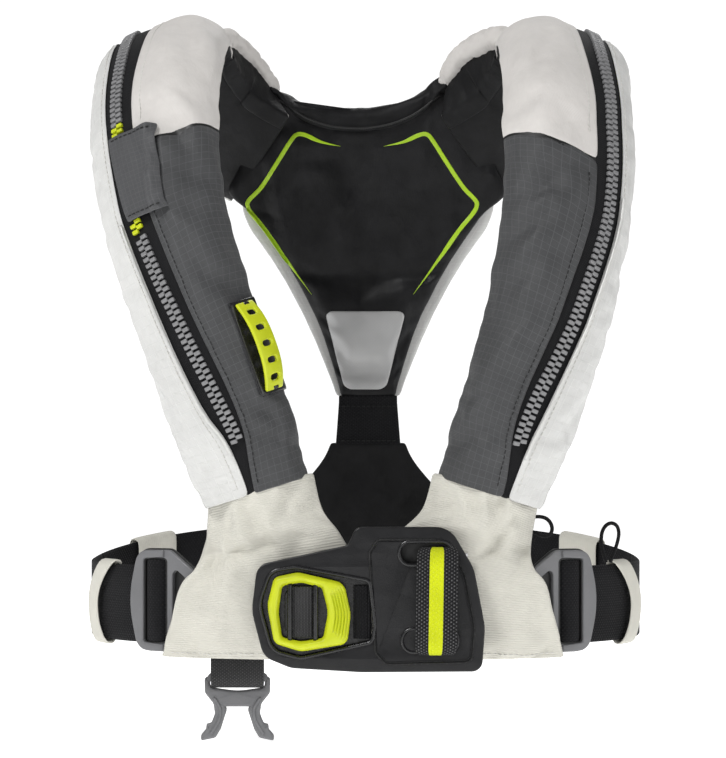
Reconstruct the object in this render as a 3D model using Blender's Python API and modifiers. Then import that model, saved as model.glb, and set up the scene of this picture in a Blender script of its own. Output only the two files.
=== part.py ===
"""Inflatable life jacket with harness: two padded lobes over the shoulders, a back yoke, a waist belt and a
front buckle. Units are metres, +Z is up, the wearer faces -Y, and the wearer's right is at -X. The origin is the
centre of the waist belt's loop, at mid height of the belt."""

import math

import bmesh
import bpy
from mathutils import Matrix, Vector

# ---- driving dimensions -------------------------------------------------------------------------------------
BELT_WIDTH = 0.050
BELT_THICK = 0.0022
BELT_LIFT = 0.0075  # from the waist to the belt's outer face
KEEPER_THICK = 0.0012
BELT_SPLIT = 0.3  # degrees from the plane Y = 0 to each end of the belt's front and back runs
WAIST_HALF_WIDTH = 0.178
WAIST_FRONT = 0.122
WAIST_BACK = 0.104
WAIST_POWER = 2.4
BELT_RISE = 0.020  # the belt climbs this far from the sides to the small of the back
FABRIC = 0.0016
CLEAR = 0.0005  # the gap kept between pieces that lie on each other

# Stations up the right lobe, from its foot at the waist over the shoulder to the yoke:
# centre x, y, z of the skin side, half width, and how far the cover bulges out from there.
LOBE = (
    (-0.048, -0.116, -0.010, 0.022, 0.008),
    (-0.060, -0.118, 0.045, 0.031, 0.020),
    (-0.0755, -0.118, 0.095, 0.0370, 0.030),
    (-0.0910, -0.118, 0.140, 0.0385, 0.034),
    (-0.1092, -0.113, 0.195, 0.0400, 0.036),
    (-0.1262, -0.101, 0.252, 0.0430, 0.035),
    (-0.1345, -0.083, 0.302, 0.0450, 0.031),
    (-0.1350, -0.050, 0.342, 0.0450, 0.027),
    (-0.1350, 0.000, 0.358, 0.0455, 0.025),
    (-0.135, 0.050, 0.342, 0.048, 0.022),
    (-0.114, 0.080, 0.320, 0.046, 0.019),
    (-0.0765, 0.0925, 0.2995, 0.040, 0.014),
)
SHOULDER_AT = 8  # the station at the top of the shoulder, where T is +Y
CHEST_A, CHEST_B = 0.165, 0.110
SHOULDER_START, SHOULDER_TURN = 0.250, 140.0
SKIN_DEPTH = 0.007
SECTION_POWER = 0.85

# Where the zip and the seams run on the lobe: (station, angle) pairs. Angle 0 is the neck side edge of the
# section, 90 its crown and 180 its arm side edge.
ZIP_INNER = ((1.9, 58), (2.5, 68), (3.0, 76), (4.0, 84), (5.0, 88), (6.0, 96), (7.0, 94), (8.0, 91))
ZIP_OUTER = ((1.9, 84), (2.5, 92), (3.0, 96), (4.0, 103), (5.0, 111), (6.0, 120), (7.0, 124), (8.0, 118))
ZIP_FOOT = 2.05
CHEST_TOP = 6.05
EDGE_IN, EDGE_OUT = -14, 198
LOBE_FOOT = 1.5  # the station where a lobe meets its waist panel
LINING_GAP = 8  # degrees between the cover's edges and the lining's

# How much further out the left lobe hangs than the right one, at each height.
LEFT_LEAN = ((-0.04, 0.0), (0.02, 0.002), (0.06, 0.013), (0.10, 0.015), (0.18, 0.012), (0.25, 0.003), (0.31, -0.003))

# Half the yoke pad's width at each height, and the depth of the back.
PAD_EDGE = (
    (0.129, 0.0216), (0.147, 0.0266), (0.166, 0.0326), (0.182, 0.038), (0.197, 0.0454), (0.220, 0.0574),
    (0.237, 0.0688), (0.254, 0.0808), (0.272, 0.0945), (0.300, 0.0735), (0.326, 0.0510),
)
BACK_DEPTH = ((-0.05, 0.100), (0.05, 0.098), (0.15, 0.101), (0.22, 0.101), (0.28, 0.094), (0.34, 0.083))
BACK_POWER = 2.4
PAD_THICK = 0.009

PLATE_Y = -0.1500  # front face of the moulded plate
PLATE_THICK = 0.0045
# Corners of the plate as (x, z, corner radius).
PLATE = (
    (-0.0665, 0.0255, 0.010), (-0.0090, 0.0380, 0.004), (-0.0035, 0.0497, 0.006), (0.0560, 0.0497, 0.016),
    (0.0715, 0.0230, 0.030), (0.0785, -0.0140, 0.030), (0.0765, -0.0422, 0.007), (0.0000, -0.0428, 0.060),
    (-0.0450, -0.0402, 0.020), (-0.0625, -0.0330, 0.012), (-0.0700, -0.0040, 0.030),
)
RECESS = (
    (-0.0640, 0.0010, 0.020), (-0.0570, 0.0205, 0.008), (-0.0415, 0.0228, 0.012), (0.0040, 0.0145, 0.003),
    (0.0072, -0.0130, 0.010), (0.0055, -0.0225, 0.003), (-0.0390, -0.0325, 0.012), (-0.0560, -0.0280, 0.010),
)
RING = (
    (-0.0600, 0.0000, 0.020), (-0.0556, 0.0178, 0.005), (-0.0405, 0.0210, 0.012), (-0.0110, 0.0142, 0.008),
    (-0.0068, -0.0055, 0.020), (-0.0090, -0.0245, 0.006), (-0.0385, -0.0294, 0.012), (-0.0555, -0.0242, 0.006),
)
RING_HOLE = (
    (-0.0527, -0.0045, 0.020), (-0.0505, 0.0122, 0.003), (-0.0384, 0.0146, 0.012), (-0.0270, 0.0112, 0.003),
    (-0.0232, -0.0042, 0.020), (-0.0262, -0.0208, 0.003), (-0.0384, -0.0230, 0.012), (-0.0505, -0.0204, 0.003),
)
RING_THICK = 0.0075
# The ladder bars inside the ring: the frame's outline, and the gaps on both sides of each bar.
LADDER = ((-0.0490, 0.0094, 0.003), (-0.0278, 0.0084, 0.003), (-0.0278, -0.0170, 0.003), (-0.0490, -0.0172, 0.003))
LADDER_Z, LADDER_GAP, LADDER_GAPS = -0.0040, 0.0040, (-0.0445, -0.0384, -0.0323)

LOOP_X, LOOP_WIDTH, LOOP_TOP, LOOP_FOOT, LOOP_REACH = 0.0472, 0.027, 0.0315, -0.0255, 0.017
CROTCH_X, CROTCH_Y, CROTCH_TOP, CROTCH_WIDTH = -0.0815, -0.1030, -0.0385, 0.034

BODY = bpy.data.collections.new("inflatable_life_jacket")
CUTTERS = bpy.data.collections.new("cutters")
MATERIALS = {
    "white_cover": ((0.80, 0.79, 0.76), 0.75, 0.0),
    "grey_ripstop": ((0.10, 0.10, 0.105), 0.80, 0.0),
    "black_lining": ((0.012, 0.012, 0.014), 0.90, 0.0),
    "webbing_black": ((0.018, 0.018, 0.020), 0.85, 0.0),
    "webbing_grey": ((0.09, 0.09, 0.09), 0.85, 0.0),
    "zip_grey": ((0.32, 0.32, 0.33), 0.45, 0.0),
    "lime_plastic": ((0.70, 0.80, 0.02), 0.40, 0.0),
    "black_plastic": ((0.020, 0.020, 0.022), 0.35, 0.0),
    "grey_plastic": ((0.20, 0.20, 0.21), 0.50, 0.0),
    "moulded_black": ((0.035, 0.035, 0.037), 0.55, 0.0),
    "steel": ((0.55, 0.55, 0.56), 0.30, 1.0),
    "reflective": ((0.48, 0.48, 0.48), 0.40, 0.3),
    "bladder_film": ((0.75, 0.72, 0.03), 0.60, 0.0),
    "clear_lens": ((0.85, 0.88, 0.88), 0.10, 0.0),
}


# ---- building helpers ---------------------------------------------------------------------------------------
def start():
    """An empty scene with the part's two collections and its materials."""
    for item in list(bpy.data.objects):
        bpy.data.objects.remove(item)
    for group in (BODY, CUTTERS):
        bpy.context.scene.collection.children.link(group)
    for name, (colour, roughness, metallic) in MATERIALS.items():
        made = bpy.data.materials.new(name)
        made.use_nodes = True
        shader = made.node_tree.nodes["Principled BSDF"]
        shader.inputs["Base Color"].default_value = (*colour, 1.0)
        shader.inputs["Roughness"].default_value = roughness
        shader.inputs["Metallic"].default_value = metallic


def keep(name, mesh, material, collection=None):
    """A named object that shows mesh in its material."""
    made = bpy.data.objects.new(name, mesh)
    made.data.materials.append(bpy.data.materials[material])
    (collection or BODY).objects.link(made)
    return made


def pivot(made, point):
    """Moves an object's origin to point and leaves its shape where it is."""
    made.data.transform(Matrix.Translation(-Vector(point)))
    made.location = point
    return made


def grid_mesh(name, rows, round_rows=False, caps=False):
    """The surface through rows of points. round_rows joins each row's ends, and caps fills the first and last."""
    shape = bmesh.new()
    made = [[shape.verts.new(point) for point in row] for row in rows]
    across = len(made[0])
    for low, high in zip(made, made[1:]):
        for i in range(across if round_rows else across - 1):
            j = (i + 1) % across
            shape.faces.new((low[i], low[j], high[j], high[i]))
    if caps:
        shape.faces.new(made[0][::-1])
        shape.faces.new(made[-1])
    bmesh.ops.recalc_face_normals(shape, faces=shape.faces)
    mesh = bpy.data.meshes.new(name)
    shape.to_mesh(mesh)
    shape.free()
    mesh.shade_smooth()
    return mesh


def sheet(name, rows, thickness, material, outward, round_rows=False):
    """A shell: the surface through rows is its face on the outward side, and Solidify thickens it inwards."""
    mesh = grid_mesh(name, rows, round_rows)
    middle = mesh.polygons[len(mesh.polygons) // 2]
    if middle.normal.dot(Vector(outward(middle.center))) < 0:
        mesh.flip_normals()
    made = keep(name, mesh, material)
    solid = made.modifiers.new("thickness", "SOLIDIFY")
    solid.thickness = thickness
    solid.offset = -1
    solid.use_quality_normals = True
    return made


def rounded(corners, steps=4):
    """The points of a flat outline whose corners (x, y, radius) are rounded with arcs."""
    points = []
    for i, (x, y, radius) in enumerate(corners):
        here = Vector((x, y))
        back = Vector(corners[i - 1][:2]) - here
        ahead = Vector(corners[(i + 1) % len(corners)][:2]) - here
        half = back.angle(ahead) / 2
        reach = min(radius / math.tan(half), 0.48 * back.length, 0.48 * ahead.length)
        radius = reach * math.tan(half)
        centre = here + (back.normalized() + ahead.normalized()).normalized() * radius / math.sin(half)
        first = here + back.normalized() * reach - centre
        last = here + ahead.normalized() * reach - centre
        turn = first.angle_signed(last)
        for step in range(steps + 1):
            arm = first.copy()
            arm.rotate(Matrix.Rotation(-turn * step / steps, 2))
            points.append(centre + arm)
    return points


def flat_mesh(name, loops, thickness, edge=0.0):
    """A plate in its own XY plane, Z from -thickness/2 to thickness/2: loops[0] is its outline, the rest holes."""
    curve = bpy.data.curves.new(name, "CURVE")
    curve.dimensions = "2D"
    curve.fill_mode = "BOTH"
    curve.extrude = thickness / 2 - edge
    curve.bevel_depth = edge
    curve.bevel_resolution = 1
    curve.offset = -edge
    for loop in loops:
        spline = curve.splines.new("POLY")
        spline.points.add(len(loop) - 1)
        for point, place in zip(spline.points, loop):
            point.co = (place[0], place[1], 0, 1)
        spline.use_cyclic_u = True
    source = bpy.data.objects.new(name, curve)
    BODY.objects.link(source)
    graph = bpy.context.evaluated_depsgraph_get()
    mesh = bpy.data.meshes.new_from_object(source.evaluated_get(graph))
    bpy.data.objects.remove(source)
    shape = bmesh.new()
    shape.from_mesh(mesh)
    bmesh.ops.remove_doubles(shape, verts=shape.verts, dist=1e-5)
    bmesh.ops.recalc_face_normals(shape, faces=shape.faces)
    shape.to_mesh(mesh)
    shape.free()
    mesh.set_sharp_from_angle(angle=math.radians(35))
    return mesh


FRONT = Matrix.Rotation(math.pi / 2, 4, "X")  # turns a flat plate's Z to the front, -Y


def front_plate(name, loops, thickness, front_y, material, edge=0.0):
    """A plate in the XZ plane whose front face is at front_y. The loops are (x, z) points."""
    mesh = flat_mesh(name, loops, thickness, edge)
    mesh.transform(Matrix.Translation((0, front_y + thickness / 2, 0)) @ FRONT)
    return keep(name, mesh, material)


def tube(name, points, radius, material, sides=2):
    """A round bar or cord along points."""
    curve = bpy.data.curves.new(name, "CURVE")
    curve.dimensions = "3D"
    curve.bevel_depth = radius
    curve.bevel_resolution = sides
    curve.use_fill_caps = True
    spline = curve.splines.new("POLY")
    spline.points.add(len(points) - 1)
    for point, place in zip(spline.points, points):
        point.co = (*place, 1)
    curve.materials.append(bpy.data.materials[material])
    made = bpy.data.objects.new(name, curve)
    BODY.objects.link(made)
    return made


def placed(mesh, place):
    """mesh carried by the matrix place, its faces still pointing out where place is a mirror image."""
    mesh.transform(place)
    if place.determinant() < 0:
        mesh.flip_normals()
    return mesh


def box(name, size, place, material, edge=0.0, collection=None):
    """A block of size, its centre and turn given by the matrix place."""
    shape = bmesh.new()
    bmesh.ops.create_cube(shape, size=1, matrix=Matrix.Diagonal((*size, 1)))
    mesh = bpy.data.meshes.new(name)
    shape.to_mesh(mesh)
    shape.free()
    made = keep(name, placed(mesh, place), material, collection)
    if edge:
        bevel = made.modifiers.new("edge", "BEVEL")
        bevel.width = edge
        bevel.segments = 2
    return made


def turned(name, profile, place, material, steps=20):
    """A turned piece: profile lists (radius, height) from the top down, and place carries its axis from Z."""
    shape = bmesh.new()
    rings = [shape.verts.new((radius, 0, height)) for radius, height in profile]
    for a, b in zip(rings, rings[1:]):
        shape.edges.new((a, b))
    mesh = bpy.data.meshes.new(name)
    shape.to_mesh(mesh)
    shape.free()
    made = keep(name, mesh, material)
    screw = made.modifiers.new("turn", "SCREW")
    screw.steps = steps
    screw.render_steps = steps
    screw.use_merge_vertices = True
    screw.merge_threshold = 1e-5
    screw.use_smooth_shade = True
    made.matrix_world = place
    return made


def cut(made, cutter):
    """Cuts cutter, which is kept as a hidden helper, out of made."""
    cutter.hide_render = True
    cutter.display_type = "WIRE"
    step = made.modifiers.new("cut", "BOOLEAN")
    step.operation = "DIFFERENCE"
    step.solver = "EXACT"
    step.object = cutter


def table(pairs, at):
    """Straight-line reading of a table of (key, value) pairs in rising order of key."""
    for (a, low), (b, high) in zip(pairs, pairs[1:]):
        if at <= b:
            return low + (high - low) * max(0.0, (at - a) / (b - a))
    return pairs[-1][1]


def spread(start_at, end_at, count):
    """count + 1 evenly spaced values from start_at to end_at."""
    return [start_at + (end_at - start_at) * i / count for i in range(count + 1)]


# ---- the body that the jacket is shaped on ------------------------------------------------------------------
def waist_point(degrees, z, lift=0.0):
    """A point on the waist's plan curve. 0 is the wearer's left at +X, 90 the back, 270 the front."""
    c, s = math.cos(math.radians(degrees)), math.sin(math.radians(degrees))
    depth = WAIST_BACK if s > 0 else WAIST_FRONT
    power = 2 / WAIST_POWER
    x = math.copysign(abs(c) ** power, c) * (WAIST_HALF_WIDTH + lift)
    y = math.copysign(abs(s) ** power, s) * (depth + lift)
    return Vector((x, y, z))


def belt_z(degrees):
    """Mid height of the belt round the waist: level at the front, higher at the back."""
    return -0.003 + BELT_RISE * max(0.0, math.sin(math.radians(degrees))) ** 1.5


def radial(point):
    """Straight away from the trunk's axis."""
    return Vector((point[0], point[1], 0))


def away_from(centres):
    """Gives the direction to a point from the nearest of centres."""
    def outward(point):
        nearest = min(centres, key=lambda centre: (centre - Vector(point)).length)
        return Vector(point) - nearest

    return outward


def lobe_station(s):
    """Centre, tangent, half width and bulge of the right lobe at station s, by a Catmull-Rom curve."""
    i = min(max(int(s), 0), len(LOBE) - 2)
    t = s - i
    around = [LOBE[min(max(i + k, 0), len(LOBE) - 1)] for k in (-1, 0, 1, 2)]
    at, slope = [], []
    for p0, p1, p2, p3 in zip(*around):
        a, b, c = 2 * p0 - 5 * p1 + 4 * p2 - p3, 3 * p1 - p0 - 3 * p2 + p3, p2 - p0
        at.append(0.5 * (2 * p1 + c * t + a * t * t + b * t ** 3))
        slope.append(0.5 * (c + 2 * a * t + 3 * b * t * t))
    return Vector(at[:3]), Vector(slope[:3]).normalized(), at[3], at[4]


def lobe_frame(s):
    """Centre, direction across towards the neck, and outward normal of the right lobe at station s."""
    centre, tangent, half, bulge = lobe_station(s)
    above = max(0.0, centre.z - SHOULDER_START) * SHOULDER_TURN
    out = Vector((centre.x / CHEST_A ** 2, centre.y / CHEST_B ** 2, above))
    normal = (out - tangent * out.dot(tangent)).normalized()
    return centre, tangent.cross(normal), normal, half, bulge


def lobe_point(s, degrees, lift=0.0):
    """A point on the right lobe's section at station s, lifted off it by lift."""
    centre, across, normal, half, bulge = lobe_frame(s)
    c, n = math.cos(math.radians(degrees)), math.sin(math.radians(degrees))
    depth = (bulge if n > 0 else SKIN_DEPTH) + lift
    c = math.copysign(abs(c) ** SECTION_POWER, c)
    n = math.copysign(abs(n) ** SECTION_POWER, n)
    return centre + across * c * (half + lift) + normal * n * depth


def sided(point, side):
    """A right-hand point, or its mirror image for the left side (+1)."""
    return Vector((point[0] * -side, point[1], point[2]))


def on_lobe(point, side):
    """A point of the right lobe, or the matching one of the left lobe (+1), which hangs a little further out."""
    lean = table(LEFT_LEAN, point[2]) if side > 0 else 0.0
    return sided(point, side) + Vector((lean, 0, 0))


SIDES = (("right", -1), ("left", 1))


def lobe_patch(name, side, stations, low, high, lift, thickness, material, across=6):
    """A fabric patch of a lobe between the angles low(s) and high(s) at each of the stations."""
    rows = []
    for s in stations:
        angles = spread(low(s), high(s), across)
        rows.append([on_lobe(lobe_point(s, a, lift), side) for a in angles])
    return sheet(name, rows, thickness, material, away_from([on_lobe(lobe_station(s)[0], side) for s in stations]))


# ---- lobes --------------------------------------------------------------------------------------------------
def front_lobe(label, side):
    """One front lobe from the waist to the top of the shoulder: cover panels, burst zip, lining and bladder."""
    top = SHOULDER_AT - 0.025
    gap = 1.8

    def inner(s):
        return table(ZIP_INNER, s)

    def outer(s):
        return table(ZIP_OUTER, s)

    def panel_high(s):
        return inner(s) - gap

    def panel_low(s):
        return (inner(s) if s < ZIP_FOOT else outer(s)) + gap

    lobe_patch(f"{label}_shoulder_panel", side, spread(CHEST_TOP + 0.02, top, 6), lambda s: EDGE_IN, panel_high,
               0, FABRIC, "white_cover")
    lobe_patch(f"{label}_chest_panel", side, spread(LOBE_FOOT, CHEST_TOP - 0.02, 10), lambda s: EDGE_IN, panel_high,
               0, FABRIC, "grey_ripstop")
    outer_stations = spread(LOBE_FOOT, ZIP_FOOT - 0.1, 2) + spread(ZIP_FOOT, top, 12)
    lobe_patch(f"{label}_outer_panel", side, outer_stations, panel_low, lambda s: EDGE_OUT,
               0, FABRIC, "white_cover", across=5)
    lobe_patch(f"{label}_zip_tape", side, spread(ZIP_FOOT + 0.03, top, 12), inner, outer,
               -0.0003, 0.0010, "webbing_black", across=3)
    lobe_patch(f"{label}_zip_chain", side, spread(ZIP_FOOT + 0.1, top, 18),
               lambda s: (inner(s) + outer(s)) / 2 - 4.5, lambda s: (inner(s) + outer(s)) / 2 + 4.5,
               0.0024, 0.0018, "zip_grey", across=2)
    lobe_patch(f"{label}_lobe_lining", side, spread(LOBE_FOOT, top, 12), lambda s: EDGE_OUT + LINING_GAP,
               lambda s: 360 + EDGE_IN - LINING_GAP, 0, FABRIC, "black_lining")


def rear_lobe(label, side):
    """The part of a lobe behind the shoulder's top, which is sewn to the yoke."""
    stations = spread(SHOULDER_AT + 0.025, len(LOBE) - 1, 8)
    lobe_patch(f"{label}_rear_shoulder_cover", side, stations, lambda s: EDGE_IN, lambda s: EDGE_OUT,
               0, FABRIC, "white_cover", across=8)
    lobe_patch(f"{label}_rear_lining", side, stations, lambda s: EDGE_OUT + LINING_GAP,
               lambda s: 360 + EDGE_IN - LINING_GAP, 0, FABRIC, "black_lining", across=5)


def bladder(label, side, low, high, shrink, count):
    """A folded length of the air bladder inside a lobe, as one closed solid."""
    rows = []
    for s in spread(low, high, count):
        rows.append([on_lobe(lobe_point(s, a, -shrink), side) for a in spread(0, 330, 11)])
    return keep(label, grid_mesh(label, rows, round_rows=True, caps=True), "bladder_film")


# ---- yoke and collar ----------------------------------------------------------------------------------------
def back_point(x, z, lift=0.0):
    depth = table(BACK_DEPTH, z)
    return Vector((x, depth * (1 - abs(x / WAIST_HALF_WIDTH) ** BACK_POWER) ** (1 / BACK_POWER) + lift, z))


def back_sheet(name, heights, half_width, lift, thickness, material, across=8):
    """A panel on the wearer's back, as wide as half_width(z) at each height. lift is that of its outer face."""
    rows = [[back_point(x, z, lift) for x in spread(-half_width(z), half_width(z), across)] for z in heights]
    return sheet(name, rows, thickness, material, lambda point: Vector((0, 1, 0)))


COLLAR_HALF = 0.054  # half the neck roll's length
COLLAR_LOW, COLLAR_HIGH = 0.3195, 0.3355  # its lower and upper edges at the middle
COLLAR_LOW_RISE, COLLAR_HIGH_RISE = 0.013, 0.009  # how far each edge climbs to the ends
COLLAR_DEPTH, COLLAR_OUT = 0.0130, 0.005


def collar():
    """The black neck roll between the ends of the two rear lobes."""
    rows = []
    for x in spread(-COLLAR_HALF, COLLAR_HALF, 12):
        low = COLLAR_LOW + COLLAR_LOW_RISE * abs(x / COLLAR_HALF) ** 2
        high = COLLAR_HIGH + COLLAR_HIGH_RISE * abs(x / COLLAR_HALF) ** 3
        centre = Vector((x, back_point(x, COLLAR_HIGH).y + COLLAR_OUT, (low + high) / 2))
        row = []
        for a in spread(0, 330, 11):
            c, n = math.cos(math.radians(a)), math.sin(math.radians(a))
            row.append(centre + Vector((0, COLLAR_DEPTH / 2 * c, (high - low) / 2 * n)))
        rows.append(row)
    keep("neck_collar", grid_mesh("neck_collar", rows, round_rows=True, caps=True), "black_lining")


PAD_INSET = 0.004  # how far the pad's own edge lies inside the yoke's outline
# How much wider than the pad the white cover behind it is, and half the widths of the other panels, at each height.
COVER_MARGIN = ((0.12, 0.003), (0.18, 0.009), (0.25, 0.011), (0.272, 0.004), (0.33, -0.003))
PATCH_HALF = ((0.1365, 0.0135), (0.1915, 0.0290))
STRAP_HALF = ((0.098, 0.0232), (0.1285, 0.0208))
LUMBAR_HALF = ((-0.018, 0.084), (0.035, 0.080), (0.075, 0.040), (0.0965, 0.0240))
COVER_GAP, COVER_THICK = 0.0008, 0.0022
PATCH_THICK = 0.0008
STRAP_OUT, STRAP_THICK = 0.0045, 0.0035
LUMBAR_OUT, LUMBAR_THICK = 0.0035, 0.0025


def ends(pairs):
    """The first and last key of a table."""
    return pairs[0][0], pairs[-1][0]


def yoke():
    """The black pad on the wearer's back, its white cover, the reflective patch and the two panels below."""
    heights = [key for key, _ in PAD_EDGE]
    heights[0] += 0.001
    heights[-1] -= 0.009
    back_sheet("back_pad", heights, lambda z: table(PAD_EDGE, z) - PAD_INSET, PAD_THICK, PAD_THICK, "black_lining")
    back_sheet("back_cover", heights, lambda z: table(PAD_EDGE, z) + table(COVER_MARGIN, z) - PAD_INSET,
               PAD_THICK + COVER_GAP + COVER_THICK, COVER_THICK, "white_cover", across=10)
    back_sheet("back_reflective_patch", spread(*ends(PATCH_HALF), 3), lambda z: table(PATCH_HALF, z),
               -CLEAR, PATCH_THICK, "reflective", across=4)
    back_sheet("yoke_strap", spread(*ends(STRAP_HALF), 2), lambda z: table(STRAP_HALF, z),
               STRAP_OUT, STRAP_THICK, "black_lining", across=4)
    back_sheet("lumbar_panel", spread(*ends(LUMBAR_HALF), 6), lambda z: table(LUMBAR_HALF, z),
               LUMBAR_OUT, LUMBAR_THICK, "black_lining", across=8)


# ---- belt ---------------------------------------------------------------------------------------------------
def belt_run(name, low, high, lift, count):
    """A length of the belt round the waist between two angles, its outer face lift(angle) off the waist."""
    rows = []
    for a in spread(low, high, count):
        rows.append([waist_point(a, belt_z(a) + side * BELT_WIDTH / 2, lift(a)) for side in (-1, 0, 1)])
    return sheet(name, rows, BELT_THICK, "webbing_black", radial)


KEEPER_ROOM, KEEPER_EDGE_ROOM = 0.0020, 0.0030  # a keeper's clearance to the belt's faces and to its edges


def keeper(name, low, high, slant):
    """A fabric loop round the belt. slant leads its upper edge round the waist by that many degrees."""
    rows = []
    half = BELT_WIDTH / 2 + KEEPER_EDGE_ROOM
    inner, outer = BELT_LIFT - BELT_THICK - KEEPER_ROOM, BELT_LIFT + KEEPER_ROOM
    around = ((-half, inner), (-half, outer), (0, outer + 0.001), (half, outer), (half, inner), (0, inner - 0.0005))
    for a in spread(low, high, 3):
        row = []
        for z, lift in around:
            shift = slant * z / half
            row.append(waist_point(a + shift, belt_z(a) + z, lift))
        rows.append(row)

    middles = [waist_point(a, belt_z(a), (inner + outer) / 2) for a in spread(low, high, 3)]
    return sheet(name, rows, KEEPER_THICK, "white_cover", away_from(middles), round_rows=True)


ADJUSTER_FROM, ADJUSTER_TO = 240, 213  # degrees round the waist between which an adjuster lies
ADJUSTER_LIFT, ADJUSTER_THICK, ADJUSTER_EDGE = 0.0135, 0.0045, 0.0007
ADJUSTER_BAR, BAR_AT = (0.0042, 0.0520, 0.0022), 0.031


def adjuster_place(side):
    """Where an adjuster sits: its pivot bar's foot point, and a matrix from the plate's plane to there."""
    inboard = waist_point(ADJUSTER_FROM, 0, ADJUSTER_LIFT)
    outboard = waist_point(ADJUSTER_TO, 0, ADJUSTER_LIFT)
    along = (outboard - inboard).normalized()
    out = Vector((along.y, -along.x, 0))
    if out.y > 0:
        out.negate()
    along, out, inboard = sided(along, side), sided(out, side), sided(inboard, side)
    turn = Matrix((along, Vector((0, 0, 1)), out)).transposed().to_4x4()
    return inboard, Matrix.Translation(inboard) @ turn


ADJUSTER = (
    (-0.003, 0.0175, 0.004), (0.020, 0.0330, 0.007), (0.046, 0.0325, 0.010), (0.0535, 0.0000, 0.070),
    (0.046, -0.0325, 0.010), (0.014, -0.0325, 0.006), (-0.003, -0.0180, 0.004),
)
ADJUSTER_WINDOW = ((0.0225, 0.0265, 0.002), (0.0395, 0.0265, 0.002), (0.0395, -0.0265, 0.002), (0.0225, -0.0265, 0.002))
ADJUSTER_SLOT = ((0.007, 0.0150, 0.003), (0.0175, 0.0225, 0.003), (0.0175, -0.0225, 0.003), (0.007, -0.0150, 0.003))


def adjuster(label, side):
    """A belt adjuster: a two-window frame that tilts on its inboard end, and the bar that the belt wraps."""
    foot, place = adjuster_place(side)
    loops = [rounded(ADJUSTER, 3), rounded(ADJUSTER_WINDOW, 2), rounded(ADJUSTER_SLOT, 2)]
    mesh = flat_mesh(f"{label}_adjuster_frame", loops, ADJUSTER_THICK, ADJUSTER_EDGE)
    pivot(keep(f"{label}_adjuster_frame", placed(mesh, place), "grey_plastic"), foot)
    bar = place @ Matrix.Translation((BAR_AT, 0, 0))
    pivot(box(f"{label}_adjuster_bar", ADJUSTER_BAR, bar, "steel", ADJUSTER_EDGE), foot)


def side_belts(label, side):
    """The front half's belt, from the split at the side to the buckle, and its two keepers."""
    def mirrored(a):
        return a if side < 0 else 540 - a

    def lift(a):
        return table(((180, BELT_LIFT), (222, BELT_LIFT), (232, BELT_LIFT - 0.004)), mirrored(a))

    belt_run(f"{label}_side_belt", mirrored(180 + BELT_SPLIT), mirrored(262), lift, 16)
    keeper(f"{label}_belt_keeper", mirrored(148), mirrored(137), 0)
    keeper(f"{label}_side_keeper", mirrored(188), mirrored(194), -4 * side)


# ---- waist panels -------------------------------------------------------------------------------------------
# Rows down the right waist panel: inner point (x, y, z), outer point, and the bulge between them.
WAIST_PANEL = (
    ((-0.0305, -0.1275, 0.0770), (-0.1010, -0.1085, 0.0560), 0.0240),
    ((-0.0250, -0.1285, 0.0610), (-0.1020, -0.1115, 0.0420), 0.0230),
    ((-0.0140, -0.1300, 0.0450), (-0.1060, -0.1220, 0.0270), 0.0100),
    ((-0.0050, -0.1310, 0.0280), (-0.1170, -0.1250, 0.0120), 0.0060),
    ((-0.0025, -0.1315, 0.0080), (-0.1220, -0.1240, -0.0040), 0.0055),
    ((-0.0025, -0.1315, -0.0180), (-0.1270, -0.1225, -0.0220), 0.0050),
    ((-0.0025, -0.1300, -0.0370), (-0.1310, -0.1200, -0.0360), 0.0040),
)
PANEL_OUT = Vector((-0.30, -1.0, 0.0)).normalized()  # which way the right waist panel bulges
PANEL_CROWN = 2.2  # how flat the bulge's top is


def waist_panel(label, side):
    """The puffed fabric panel that closes a lobe's foot and covers the belt's front end."""
    rows = []
    for inner, outer, bulge in WAIST_PANEL:
        row = []
        for t in spread(0, 1, 8):
            crown = 1 - abs(2 * t - 1) ** PANEL_CROWN
            point = Vector(inner).lerp(Vector(outer), t) + PANEL_OUT * bulge * crown
            row.append(on_lobe(point, side))
        rows.append(row)
    sheet(f"{label}_waist_panel", rows, FABRIC, "white_cover", lambda point: Vector((0, -1, 0)))


# ---- front plate and buckle ---------------------------------------------------------------------------------
def slot_loop(x, z, width, height):
    """A slot outline with round ends, its centre at (x, z)."""
    dx, dz, r = width / 2, height / 2, height * 0.45
    return rounded(((x - dx, z - dz, r), (x + dx, z - dz, r), (x + dx, z + dz, r), (x - dx, z + dz, r)), 3)


def buckle():
    """The moulded plate, the lime release ring in its recess, and the ladder bars that hold the strap."""
    front_plate("front_plate", [rounded(PLATE), rounded(RECESS, 3), slot_loop(0.0435, 0.0305, 0.042, 0.0130),
                                slot_loop(0.0465, -0.0240, 0.038, 0.0130)],
                PLATE_THICK, PLATE_Y, "moulded_black", 0.0010)
    tray = [(x * 1.02 - 0.0005, z * 1.05, r) for x, z, r in RECESS]
    front_plate("buckle_tray", [rounded(tray, 3)], 0.0016, PLATE_Y + PLATE_THICK + CLEAR, "black_plastic")
    ring = front_plate("release_ring", [rounded(RING, 3), rounded(RING_HOLE, 3)], RING_THICK, PLATE_Y - 0.0035,
                       "lime_plastic", 0.0016)
    pivot(ring, (-0.0575, PLATE_Y + 0.001, -0.004))
    ladder = [rounded(LADDER, 2)] + [slot_loop(x, LADDER_Z, LADDER_GAP, 0.0210) for x in LADDER_GAPS]
    front_plate("buckle_ladder", ladder, 0.0030, PLATE_Y + 0.0010, "steel", 0.0006)
    strap = Matrix.Translation((-0.0010, PLATE_Y + 0.0020, LADDER_Z))
    box("buckle_webbing", (0.0090, 0.0022, 0.0280), strap, "webbing_black", 0.0004)


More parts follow.
